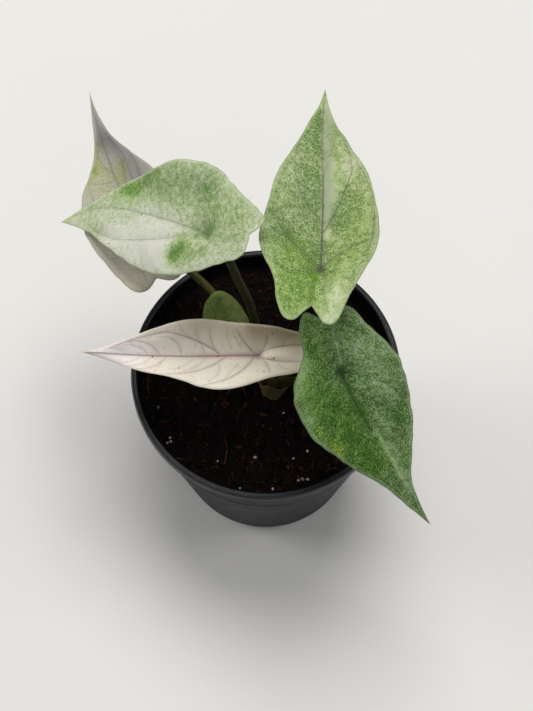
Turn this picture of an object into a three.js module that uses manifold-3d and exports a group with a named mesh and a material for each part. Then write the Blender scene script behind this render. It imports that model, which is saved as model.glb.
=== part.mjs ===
// Variegated arrow-leaf aroid growing in a round nursery pot.
// Millimetres, +Z up, origin at the middle of the pot's underside, front towards -Y.

import * as THREE from 'three';
import { mergeVertices } from 'three/addons/utils/BufferGeometryUtils.js';
import Module from 'manifold-3d';

const wasm = await Module();
wasm.setup();

// Clearance between pieces that sit on or in each other
const SEAT_GAP = 0.3;

// Pot
const POT_HEIGHT = 100;
const RIM_RADIUS = 60;
const RIM_WIDTH = 3.2;
const RIM_DEPTH = 6;
const FOOT_RADIUS = 42;
const WALL = 1.5;
const BASE = 1.8;
const POT_SIDES = 48;
const DRAIN_COUNT = 8;
const DRAIN_RADIUS = 3.5;
const DRAIN_CIRCLE = 31;

// Soil
const SOIL_LEVEL = 90.5;
const SOIL_MOUND = 2;
const SOIL_MOUND_SPREAD = 26;
const SOIL_RINGS = 9;
const CHIP_COUNT = 44;
const CHIP_SIZE = 2.2;
const CHIP_CLEARANCE = 8;

// Crown, from which every leaf stalk rises
const CROWN_X = 4;
const CROWN_Y = -1;
const CROWN_TOP = 92.7;
const CROWN_NECK = 6.4;
const CORM_RADIUS = 9.5;
const CORM_LENGTH = 27;
const STALK_CIRCLE = 4.4;
const STALK_STEP = 3.6;
const ROOT_COUNT = 5;
const ROOT_RADIUS = 1.3;
const ROOT_SPREAD = 24;
const ROOT_DEPTH = 46;

// Papery sheath round the front of the crown: its highest part, the bulge, is a share
// of the way round and spreads into a skirt at its foot
const SHEATH_THICKNESS = 0.8;
const SHEATH_RADIUS = 7.2;
const SHEATH_SKIRT = 3.4;
const SHEATH_FOOT = 90.5;
const SHEATH_HEIGHT = 9.5;
const SHEATH_END_HEIGHT = 4;
const SHEATH_MIDDLE = -82;
const SHEATH_SPAN = 190;
const SHEATH_BULGE = 0.38;
const SHEATH_BULGE_WIDTH = 0.17;
const SHEATH_SKIRT_CURVE = 1.3;
const SHEATH_RIPPLE = 0.35;
const SHEATH_FOLDS = 9;

// Leaf blades
const BLADE_THICKNESS = 0.8;
const BLADE_RINGS = [0.12, 0.3, 0.5, 0.7, 0.87, 1];
const OUTLINE_STEPS = 16;
const DIMPLE_DEPTH = 2.4;
const DIMPLE_RADIUS = 6;
const FOLD_WIDTH = 3;

// Every leaf. The outline is flat, in millimetres from where the stalk joins: first
// along the midrib towards the tip, then to the leaf's left as one looks to the tip.
// heading, pitch and roll are degrees; arch and lobeArch bend the midrib, per metre;
// fold is the rise of each half at the midrib, curl the bend of each half per 10 mm.
const LEAVES = [
  {
    name: 'far_left',
    colour: 0xb9b7ae,
    seat: [-53.3, 41.7, 146],
    heading: 112, pitch: -8, roll: 3,
    arch: 2, lobeArch: 4, sweep: -0.7, fold: -4, curl: -3, wave: 0.8,
    notch: [-21, 0.5],
    tip: [95, -1],
    left: [[-24.8, 5.4], [-24, 11], [-16, 15], [-5, 18], [4, 20.3], [13, 21.3], [24, 19.7],
      [34, 16.3], [42, 11], [52, 6.2], [63, 3.4], [80, 0.9]],
    right: [[-24, -4], [-23, -9.5], [-16, -15], [-5, -18], [4, -20.3], [13, -21], [25, -20],
      [38, -16.8], [50, -10.8], [62, -4.7], [80, -1.6]],
    stalkAngle: 150, stalkBase: 1.7, stalkTop: 1.8,
    route: [[-11.6, 20.7, 97], [-24.3, 36.8, 103], [-34.8, 43.4, 112], [-45, 45, 125]],
  },
  {
    name: 'left',
    colour: 0xc3d3b4,
    seat: [-25.2, 21.3, 190],
    heading: 137, pitch: -23, roll: -30,
    arch: 3, lobeArch: 3, sweep: 3.6, fold: 0, curl: -6, wave: 0.8,
    notch: [-20.8, -8],
    tip: [88, 0.3],
    left: [[-23, -3], [-22, 1], [-16, 6], [-4, 15], [6, 21], [18, 24], [30, 23.8],
      [41, 20.4], [54, 15.4], [66, 9.6]],
    right: [[-24, -14], [-22, -17.5], [-14, -19.5], [-6, -21.5], [8, -25], [18, -26.6],
      [30, -25.8], [42, -23], [54, -14.8], [66, -8]],
    stalkAngle: 95, stalkBase: 1.95, stalkTop: 1.75,
    route: [[-0.8, 6.1, 108], [-4.6, 10.5, 128], [-7.3, 12.5, 146], [-11, 13.8, 160],
      [-15.4, 17.4, 175]],
  },
  {
    name: 'right',
    colour: 0x93b46f,
    seat: [21.2, 1.7, 200],
    heading: 88.5, pitch: -4, roll: -3,
    arch: 2, lobeArch: 4, sweep: 0, fold: 0, curl: -5, wave: 0.8,
    notch: [-17, 3.3],
    tip: [91, -0.9],
    left: [[-19, 6], [-22.6, 10], [-21.5, 14], [-15, 16.6], [-3, 18.6], [8, 23.4], [18, 24.6],
      [30, 22], [46, 18], [58, 12.2], [72, 5.6], [83, 1]],
    right: [[-20.5, 1.2], [-24.6, -1.6], [-23.6, -6.2], [-13, -11], [-1, -17], [10, -21.8],
      [20, -23], [32, -21.4], [46, -18.4], [58, -12.2], [72, -5], [84, -1.8]],
    stalkAngle: 20, stalkBase: 1.9, stalkTop: 1.5,
    route: [[14, 1.6, 101], [20.1, 2.1, 118], [23.7, 3.2, 140], [22.9, 2.6, 168]],
  },
  {
    name: 'front_right',
    colour: 0x547f3a,
    seat: [30.4, -31.8, 172],
    heading: -54.5, pitch: -32, roll: 6,
    arch: 2, lobeArch: 2, sweep: 0, fold: 0, curl: -5, wave: 0.8,
    notch: [-20, 4.4],
    tip: [76, 1.4],
    left: [[-23, 10], [-22, 15.4], [-14, 18], [-4, 21.3], [7, 23.2], [18, 21.6], [30, 17],
      [44, 8.8], [54, 3.4], [65, 1.7]],
    right: [[-26, 1.6], [-28.6, -1.4], [-24, -6.4], [-14, -10.2], [-9, -16], [-1, -21.6],
      [9, -23.2], [20, -22.2], [34, -16], [50, -7.8], [65, -2.4]],
    stalkAngle: 318, stalkBase: 1.9, stalkTop: 1.5,
    route: [[11.5, -8, 106], [17.1, -13.8, 126], [23.5, -19.5, 148]],
  },
  {
    name: 'front_left',
    colour: 0xd9d2c4,
    seat: [-3.2, -8.8, 138],
    heading: 179, pitch: -3, roll: -14,
    arch: 2, lobeArch: 3, sweep: 0, fold: 40, curl: -3, wave: 0.8,
    notch: [-20, -1],
    tip: [76, -2.4],
    left: [[-23, 2.4], [-23, 7], [-16, 9.6], [-5, 12.4], [5, 17], [14, 19], [23, 17.4],
      [35, 12], [50, 7.6], [63, 2]],
    right: [[-23, -4], [-23, -8], [-16, -10.4], [-5, -13], [8, -14.5], [20, -16.2], [30, -16],
      [42, -13], [54, -8.9], [66, -4.6]],
    stalkAngle: 262, stalkBase: 1.7, stalkTop: 1.3,
    route: [[2.2, -6.4, 104], [-1.6, -6.6, 118]],
  },
  {
    name: 'small',
    colour: 0x7a9a58,
    seat: [-15, 5.9, 117],
    heading: 103, pitch: -12, roll: 0,
    arch: 6, lobeArch: 4, sweep: 0, fold: 6, curl: -8, wave: 0.3,
    notch: [-7, 0],
    tip: [32.2, 0.4],
    left: [[-9.5, 3], [-8, 6.6], [-2, 9.2], [7, 9.8], [17, 9.4], [25, 7], [30.4, 3.2]],
    right: [[-9.5, -3], [-8, -6.6], [-2, -9.2], [7, -10.2], [17, -9], [25.4, -6], [30.6, -2.4]],
    stalkAngle: 205, stalkBase: 1.4, stalkTop: 1.1,
    route: [[-3, -2, 98], [-10.5, 1.6, 106]],
  },
];

const radians = THREE.MathUtils.degToRad;

// Repeatable numbers between 0 and 1
function seededRandom(seed) {
  let state = seed;
  return () => {
    state = (state * 16807) % 2147483647;
    return state / 2147483647;
  };
}

function bodyFrom(points, triangles) {
  const body = new THREE.BufferGeometry();
  const positions = points.flatMap(({ x, y, z }) => [x, y, z]);
  body.setAttribute('position', new THREE.Float32BufferAttribute(positions, 3));
  body.setIndex(triangles.flat());
  return body;
}

function toSolid(geometry) {
  const bare = geometry.clone();
  bare.deleteAttribute('normal');
  bare.deleteAttribute('uv');
  const merged = mergeVertices(bare);
  return new wasm.Manifold(new wasm.Mesh({
    numProp: 3,
    vertProperties: new Float32Array(merged.attributes.position.array),
    triVerts: new Uint32Array(merged.index.array),
  }));
}

function fromSolid(solid) {
  const { vertProperties, triVerts } = solid.getMesh();
  const geometry = new THREE.BufferGeometry();
  geometry.setAttribute('position', new THREE.BufferAttribute(vertProperties, 3));
  geometry.setIndex(new THREE.BufferAttribute(triVerts, 1));
  return geometry;
}

// A turned shape about Z from [radius, height] points, lowest point first
function turned(profile, sides) {
  const points = profile.map(([radius, height]) => new THREE.Vector2(radius, height));
  return new THREE.LatheGeometry(points, sides).rotateX(Math.PI / 2);
}

// A closed sheet from its upper and lower points, the triangles of its upper face
// and the loop of points round its edge, anticlockwise from above
function closedSheet(upper, lower, triangles, edge) {
  const count = upper.length;
  const underside = triangles.map(([a, b, c]) => [a + count, c + count, b + count]);
  const rim = edge.flatMap((a, i) => {
    const b = edge[(i + 1) % edge.length];
    return [[a, a + count, b + count], [a, b + count, b]];
  });
  return bodyFrom([...upper, ...lower], [...triangles, ...underside, ...rim]);
}

// A round stem along a curve whose radius runs from one size to another, and whose
// far end may run past the curve
function taperedStem(curve, startRadius, endRadius, steps, sides, overrun = 0) {
  const frames = curve.computeFrenetFrames(steps);
  const points = [];
  const triangles = [];
  for (let i = 0; i <= steps; i += 1) {
    const centre = curve.getPointAt(i / steps);
    if (i === steps) centre.addScaledVector(frames.tangents[i], overrun);
    const radius = THREE.MathUtils.lerp(startRadius, endRadius, i / steps);
    for (let j = 0; j < sides; j += 1) {
      const angle = (2 * Math.PI * j) / sides;
      points.push(centre.clone()
        .addScaledVector(frames.normals[i], radius * Math.cos(angle))
        .addScaledVector(frames.binormals[i], radius * Math.sin(angle)));
    }
  }
  for (let i = 0; i < steps; i += 1) {
    for (let j = 0; j < sides; j += 1) {
      const a = i * sides + j;
      const b = i * sides + ((j + 1) % sides);
      triangles.push([a, b, b + sides], [a, b + sides, a + sides]);
    }
  }
  const last = steps * sides;
  for (let j = 1; j < sides - 1; j += 1) {
    triangles.push([0, j + 1, j], [last, last + j, last + j + 1]);
  }
  return bodyFrom(points, triangles);
}

// Radius of the pot's inner wall at a height
function wallRadius(height) {
  const slope = (RIM_RADIUS - RIM_WIDTH - FOOT_RADIUS + WALL) / (POT_HEIGHT - RIM_DEPTH - BASE);
  return FOOT_RADIUS - WALL + slope * (height - BASE);
}

function potGeometry() {
  const lipInner = RIM_RADIUS - RIM_WIDTH;
  const lipFoot = POT_HEIGHT - RIM_DEPTH;
  let pot = toSolid(turned([
    [0, 0],
    [FOOT_RADIUS - 1.2, 0],
    [FOOT_RADIUS, 1.2],
    [lipInner + WALL, lipFoot],
    [RIM_RADIUS, lipFoot + 0.8],
    [RIM_RADIUS, POT_HEIGHT - 1.2],
    [RIM_RADIUS - 1, POT_HEIGHT],
    [lipInner + 0.8, POT_HEIGHT],
    [lipInner, POT_HEIGHT - 0.8],
    [lipInner, lipFoot],
    [FOOT_RADIUS - WALL, BASE],
    [0, BASE],
  ], POT_SIDES));
  for (let i = 0; i < DRAIN_COUNT; i += 1) {
    const angle = (2 * Math.PI * (i + 0.5)) / DRAIN_COUNT;
    const drill = new THREE.CylinderGeometry(DRAIN_RADIUS, DRAIN_RADIUS, 4 * BASE, 12)
      .rotateX(Math.PI / 2)
      .translate(DRAIN_CIRCLE * Math.cos(angle), DRAIN_CIRCLE * Math.sin(angle), BASE / 2);
    pot = pot.subtract(toSolid(drill));
  }
  return fromSolid(pot);
}

// The corm's turned body, grown all round by a clearance
function cormSolid(grow) {
  const foot = CROWN_TOP - CORM_LENGTH;
  const profile = [
    [0, foot - grow],
    [CORM_RADIUS * 0.55 + grow, foot + 2 - grow / 2],
    [CORM_RADIUS * 0.93 + grow, foot + 7],
    [CORM_RADIUS + grow, foot + 12],
    [CORM_RADIUS * 0.92 + grow, foot + 17],
    [CROWN_NECK + grow, foot + 21 + grow],
    [CROWN_NECK + grow, CROWN_TOP],
    [0, CROWN_TOP],
  ];
  return toSolid(turned(profile, 20).translate(CROWN_X, CROWN_Y, 0));
}

// One thick root that leaves the corm low down and dives outwards
function rootSolid(index, grow) {
  const angle = (2 * Math.PI * (index + 0.3)) / ROOT_COUNT;
  const start = CROWN_TOP - CORM_LENGTH + 9;
  const at = (reach, drop) => new THREE.Vector3(
    CROWN_X + reach * Math.cos(angle + reach / 40),
    CROWN_Y + reach * Math.sin(angle + reach / 40),
    start - drop,
  );
  const curve = new THREE.CatmullRomCurve3([
    at(CORM_RADIUS * 0.4, 0),
    at(CORM_RADIUS * 1.3, 3),
    at(ROOT_SPREAD * 0.75, ROOT_DEPTH * 0.35),
    at(ROOT_SPREAD, ROOT_DEPTH + index * 2),
  ]);
  return toSolid(taperedStem(curve, ROOT_RADIUS + grow, ROOT_RADIUS * 0.6 + grow, 8, 6, grow));
}

function cormWithRoots(grow) {
  let solid = cormSolid(grow);
  for (let i = 0; i < ROOT_COUNT; i += 1) {
    solid = solid.add(rootSolid(i, grow));
  }
  return solid;
}

// Height of the potting mix: a low mound at the crown and crumbs that fade at the wall
function soilHeight(x, y, share) {
  const fromCrown = Math.hypot(x - CROWN_X, y - CROWN_Y) / SOIL_MOUND_SPREAD;
  const mound = SOIL_MOUND * Math.exp(-fromCrown * fromCrown);
  const crumbs = 0.6 * Math.sin(x / 2.3 + Math.sin(y / 3.7)) * Math.cos(y / 2.9 + x / 7.1)
    + 0.4 * Math.sin((x - y) / 5.3);
  return SOIL_LEVEL + (mound + crumbs) * (1 - share ** 6);
}

function soilMound() {
  const bottom = BASE + SEAT_GAP;
  const points = [new THREE.Vector3(0, 0, soilHeight(0, 0, 0))];
  const triangles = [];
  const addRing = (radius, heightAt) => {
    for (let j = 0; j < POT_SIDES; j += 1) {
      const angle = (2 * Math.PI * j) / POT_SIDES;
      const x = radius * Math.cos(angle);
      const y = radius * Math.sin(angle);
      points.push(new THREE.Vector3(x, y, heightAt(x, y)));
    }
  };
  for (let i = 1; i <= SOIL_RINGS; i += 1) {
    const share = i / SOIL_RINGS;
    addRing((wallRadius(SOIL_LEVEL) - SEAT_GAP) * share, (x, y) => soilHeight(x, y, share));
  }
  addRing(wallRadius(bottom) - SEAT_GAP, () => bottom);
  points.push(new THREE.Vector3(0, 0, bottom));
  const lastPoint = points.length - 1;
  for (let j = 0; j < POT_SIDES; j += 1) {
    const next = (j + 1) % POT_SIDES;
    triangles.push([0, 1 + j, 1 + next]);
    for (let i = 0; i < SOIL_RINGS; i += 1) {
      const a = 1 + i * POT_SIDES;
      const b = a + POT_SIDES;
      triangles.push([a + j, b + j, b + next], [a + j, b + next, a + next]);
    }
    const foot = 1 + SOIL_RINGS * POT_SIDES;
    triangles.push([lastPoint, foot + next, foot + j]);
  }
  return toSolid(bodyFrom(points, triangles));
}

// Bark chips, half sunk in the mix
function barkChips() {
  const random = seededRandom(11);
  const chips = [];
  while (chips.length < CHIP_COUNT) {
    const reach = 14 + 36 * Math.sqrt(random());
    const angle = 2 * Math.PI * random();
    const x = reach * Math.cos(angle);
    const y = reach * Math.sin(angle);
    const size = CHIP_SIZE * (0.6 + random());
    if (Math.hypot(x - CROWN_X, y - CROWN_Y) > CROWN_NECK + CHIP_CLEARANCE) {
      chips.push(toSolid(new THREE.OctahedronGeometry(size)
        .scale(1, 0.6 + 0.3 * random(), 0.5)
        .rotateZ(Math.PI * random())
        .translate(x, y, soilHeight(x, y, reach / wallRadius(SOIL_LEVEL)))));
    }
  }
  return chips;
}

function soilGeometry() {
  let soil = soilMound();
  for (const chip of barkChips()) {
    soil = soil.add(chip);
  }
  const sheathRoom = SHEATH_RADIUS + SHEATH_SKIRT + SHEATH_THICKNESS + 3 * SEAT_GAP;
  const collarDepth = 20;
  const collar = new THREE.CylinderGeometry(sheathRoom, sheathRoom, collarDepth, 20)
    .rotateX(Math.PI / 2)
    .translate(CROWN_X, CROWN_Y, SHEATH_FOOT - SEAT_GAP + collarDepth / 2);
  return fromSolid(soil.subtract(cormWithRoots(SEAT_GAP)).subtract(toSolid(collar)));
}

function sheathGeometry() {
  const across = 18;
  const up = 5;
  const surface = (u, v) => {
    const angle = radians(SHEATH_MIDDLE + SHEATH_SPAN * (u - 0.5));
    const bulge = Math.exp(-(((u - SHEATH_BULGE) / SHEATH_BULGE_WIDTH) ** 2));
    const skirt = SHEATH_SKIRT * bulge * Math.max(1 - v, 0) ** SHEATH_SKIRT_CURVE;
    const ripple = SHEATH_RIPPLE * (1 - v) * bulge * Math.sin(SHEATH_FOLDS * Math.PI * u);
    const radius = SHEATH_RADIUS + skirt + ripple;
    const rise = THREE.MathUtils.lerp(SHEATH_END_HEIGHT, SHEATH_HEIGHT, bulge);
    return new THREE.Vector3(
      CROWN_X + radius * Math.cos(angle),
      CROWN_Y + radius * Math.sin(angle),
      SHEATH_FOOT + v * rise,
    );
  };
  const inner = [];
  const outer = [];
  const triangles = [];
  for (let i = 0; i <= across; i += 1) {
    for (let j = 0; j <= up; j += 1) {
      const u = i / across;
      const v = j / up;
      const step = 0.01;
      const alongU = surface(u + step, v).sub(surface(u - step, v));
      const alongV = surface(u, v + step).sub(surface(u, v - step));
      const out = alongU.cross(alongV).normalize();
      inner.push(surface(u, v));
      outer.push(surface(u, v).addScaledVector(out, SHEATH_THICKNESS));
      if (i < across && j < up) {
        const a = i * (up + 1) + j;
        const b = a + up + 1;
        triangles.push([a, b, b + 1], [a, b + 1, a + 1]);
      }
    }
  }
  const edge = [];
  for (let i = 0; i < across; i += 1) edge.push(i * (up + 1));
  for (let j = 0; j < up; j += 1) edge.push(across * (up + 1) + j);
  for (let i = across; i > 0; i -= 1) edge.push(i * (up + 1) + up);
  for (let j = up; j > 0; j -= 1) edge.push(j);
  return closedSheet(outer, inner, triangles, edge);
}

// How far half a leaf reaches sideways and up at a distance from its midrib
function halfSection(leaf, distance) {
  const steps = 8;
  const section = { out: 0, up: 0 };
  for (let i = 0; i < steps; i += 1) {
    const along = (distance * (i + 0.5)) / steps;
    const bend = radians(leaf.fold * (1 - Math.exp(-along / FOLD_WIDTH)) + (leaf.curl * along) / 10);
    section.out += (Math.cos(bend) * distance) / steps;
    section.up += (Math.sin(bend) * distance) / steps;
  }
  return section;
}

// A point of the blade's upper face in the leaf's own frame: X to the tip, Y to its left
function bladePoint(leaf, s, t) {
  const bend = (s > 0 ? leaf.arch : leaf.lobeArch) / 1000;
  const turn = bend * s;
  const { out, up } = halfSection(leaf, Math.abs(t));
  const fromSeat = Math.hypot(s, t) / DIMPLE_RADIUS;
  const dimple = DIMPLE_DEPTH * Math.exp(-fromSeat * fromSeat);
  const ripple = leaf.wave * (t / 22) ** 2 * Math.sin(s / 5.5 + (t > 0 ? 0 : 2));
  const rise = up + ripple - dimple;
  return new THREE.Vector3(
    Math.sin(turn) / bend + rise * Math.sin(turn),
    (leaf.sweep / 1000) * Math.max(s, 0) ** 2 + Math.sign(t) * out,
    (Math.cos(turn) - 1) / bend + rise * Math.cos(turn),
  );
}

function bladeNormal(leaf, s, t) {
  const step = 0.2;
  const alongS = bladePoint(leaf, s + step, t).sub(bladePoint(leaf, s - step, t));
  const alongT = bladePoint(leaf, s, t + step).sub(bladePoint(leaf, s, t - step));
  return alongS.cross(alongT).normalize();
}

// The outline's points from the notch round one side to just short of the tip
function outlineSide(leaf, side) {
  const curve = new THREE.SplineCurve([leaf.notch, ...side, leaf.tip]
    .map(([s, t]) => new THREE.Vector2(s, t)));
  return curve.getSpacedPoints(OUTLINE_STEPS).slice(0, -1);
}

// Rings of points that shrink from the outline to where the stalk joins
function bladeGeometry(leaf) {
  const tip = new THREE.Vector2(...leaf.tip);
  const outline = [
    ...outlineSide(leaf, leaf.right),
    tip,
    ...outlineSide(leaf, leaf.left).slice(1).reverse(),
  ];
  const sides = outline.length;
  const flat = [new THREE.Vector2(0, 0)];
  for (const share of BLADE_RINGS) {
    flat.push(...outline.map((point) => point.clone().multiplyScalar(share)));
  }
  const upper = flat.map(({ x, y }) => bladePoint(leaf, x, y));
  const lower = flat.map(({ x, y }, i) => (
    upper[i].clone().addScaledVector(bladeNormal(leaf, x, y), -BLADE_THICKNESS)));
  const triangles = [];
  for (let j = 0; j < sides; j += 1) {
    const next = (j + 1) % sides;
    triangles.push([0, 1 + j, 1 + next]);
    for (let i = 1; i < BLADE_RINGS.length; i += 1) {
      const a = 1 + (i - 1) * sides;
      const b = a + sides;
      triangles.push([a + j, b + j, b + next], [a + j, b + next, a + next]);
    }
  }
  const rimStart = 1 + (BLADE_RINGS.length - 1) * sides;
  return closedSheet(upper, lower, triangles, outline.map((_, j) => rimStart + j));
}

function leafTurn(leaf) {
  return new THREE.Euler(radians(leaf.roll), radians(-leaf.pitch), radians(leaf.heading), 'ZYX');
}

// A stalk from the crown, straight up at its foot and square to the blade at its top
function stalkGeometry(leaf) {
  const angle = radians(leaf.stalkAngle);
  const footX = CROWN_X + STALK_CIRCLE * Math.cos(angle);
  const footY = CROWN_Y + STALK_CIRCLE * Math.sin(angle);
  const footZ = CROWN_TOP + SEAT_GAP;
  const up = new THREE.Vector3(0, 0, 1).applyEuler(leafTurn(leaf));
  const seat = new THREE.Vector3(...leaf.seat);
  const below = DIMPLE_DEPTH + BLADE_THICKNESS + SEAT_GAP;
  const curve = new THREE.CatmullRomCurve3([
    new THREE.Vector3(footX, footY, footZ),
    new THREE.Vector3(footX, footY, footZ + 2),
    ...leaf.route.map((point) => new THREE.Vector3(...point)),
    seat.clone().addScaledVector(up, -below - 3),
    seat.clone().addScaledVector(up, -below),
  ]);
  const steps = Math.round(curve.getLength() / STALK_STEP);
  return taperedStem(curve, leaf.stalkBase, leaf.stalkTop, steps, 8);
}

function piece(name, geometry, colour, roughness) {
  const material = new THREE.MeshStandardMaterial({ color: colour, roughness, metalness: 0 });
  const mesh = new THREE.Mesh(geometry, material);
  mesh.name = name;
  return mesh;
}

function leafPieces(leaf) {
  const blade = piece(`blade_${leaf.name}`, bladeGeometry(leaf), leaf.colour, 0.5);
  blade.position.set(...leaf.seat);
  blade.rotation.copy(leafTurn(leaf));
  const stalk = piece(`petiole_${leaf.name}`, stalkGeometry(leaf), 0x7d8a55, 0.5);
  return [blade, stalk];
}

const plant = new THREE.Group();
plant.add(
  piece('pot', potGeometry(), 0x17171c, 0.45),
  piece('soil', soilGeometry(), 0x2a1c18, 0.95),
  piece('corm', fromSolid(cormWithRoots(0)), 0x7a5a3c, 0.9),
  piece('sheath', sheathGeometry(), 0x8f9166, 0.7),
  ...LEAVES.flatMap(leafPieces),
);

export default plant;
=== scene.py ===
"""Finished surfaces of a young variegated arrow-leaf aroid in its nursery pot.

Shapes are worked out in millimetres, each leaf in its own flat sheet, and then placed in
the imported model's frame, which is in metres. Node trees and materials use metres, apart
from a leaf's patterns, which lie in its flat sheet.
"""

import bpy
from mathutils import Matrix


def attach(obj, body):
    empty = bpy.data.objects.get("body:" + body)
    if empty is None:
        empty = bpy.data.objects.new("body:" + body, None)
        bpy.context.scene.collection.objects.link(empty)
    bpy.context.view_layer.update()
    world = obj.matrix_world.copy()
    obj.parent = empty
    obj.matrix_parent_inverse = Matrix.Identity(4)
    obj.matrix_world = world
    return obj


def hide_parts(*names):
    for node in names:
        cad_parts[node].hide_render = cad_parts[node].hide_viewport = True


bl_info = {
    "name": "Potted arrow-leaf aroid",
    "version": (1, 0, 0),
    "blender": (4, 5, 0),
    "location": "3D View > Sidebar > Aroid",
    "description": "Builds the pot, potting mix, stalks and marbled blades of a young aroid",
    "category": "Add Mesh",
}

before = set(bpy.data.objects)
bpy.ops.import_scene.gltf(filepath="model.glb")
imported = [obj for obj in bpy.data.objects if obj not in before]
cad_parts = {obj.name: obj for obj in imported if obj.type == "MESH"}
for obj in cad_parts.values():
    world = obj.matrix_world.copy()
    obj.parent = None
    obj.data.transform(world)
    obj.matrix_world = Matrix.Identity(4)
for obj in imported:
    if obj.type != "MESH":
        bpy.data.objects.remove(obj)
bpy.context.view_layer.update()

import math
from functools import partial, wraps

import bmesh
import bpy
import numpy as np
from bpy.props import FloatProperty, FloatVectorProperty, IntProperty, PointerProperty
from mathutils import Matrix, Vector, noise

MM = 0.001
TO_METRES = Matrix.Scale(MM, 4)
UP = Vector((0, 0, 1))
FULL_TURN = 6.283

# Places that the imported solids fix, in millimetres
CROWN = Vector((4, -1, 92.7))
STALK_CIRCLE = 4.4
FOOT_GAP = 0.3
SOIL_LEVEL = 90.5
SOIL_MOUND = 2
SOIL_MOUND_SPREAD = 26
DIMPLE_DEPTH = 2.4
DIMPLE_RADIUS = 6
FOLD_WIDTH = 3
LIP_ROLL = 3.2
LIP_DEPTH = 6
FLOOR_TOP = 1.8
CORM_HEIGHT = 27
STALK_SINK = 3
STRAIGHT_FOOT = 2
STRAIGHT_TOP = 6.5
TOP_GAP = 0.4

# Finer form that only the finished surfaces have, in millimetres
WAVE_REACH = 22
WAVE_LENGTH = 5.5
RIPPLE_SPACING = 4.5
FRILL_SPACING = 7
SWELL_SPACING = 11
BLADE_EDGE = 0.16
GRAIN_LIFT = 0.5

# Ribs of the sheath, as radians across it
SHEATH_RIBS = 210

# Where strewn grains may lie, in metres: off the crown, off the wall and on the top
CLEAR_OF_CROWN = 0.0085
CLEAR_OF_WALL = 0.0545
TOP_OF_MIX = 0.085

# The camera: its height over the horizon in degrees, what it looks at and how far off in
# metres, and the photo's focal length and height in pixels
VIEW_ELEVATION = 66.7
VIEW_TARGET = Vector((0.3, 6.9, 100)) * MM
VIEW_DISTANCE = 0.712
FOCAL_PIXELS = 1600
PHOTO_PIXELS = 711

# What a leaf has unless its own entry says otherwise
PLAIN_LEAF = {"arch": 2, "sweep": 0, "fold": 0, "wave": 0.8, "recurve": 0.35, "cushion": 0,
              "net": 0.05, "spots": [], "stalk_tone": 1.0}

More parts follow.
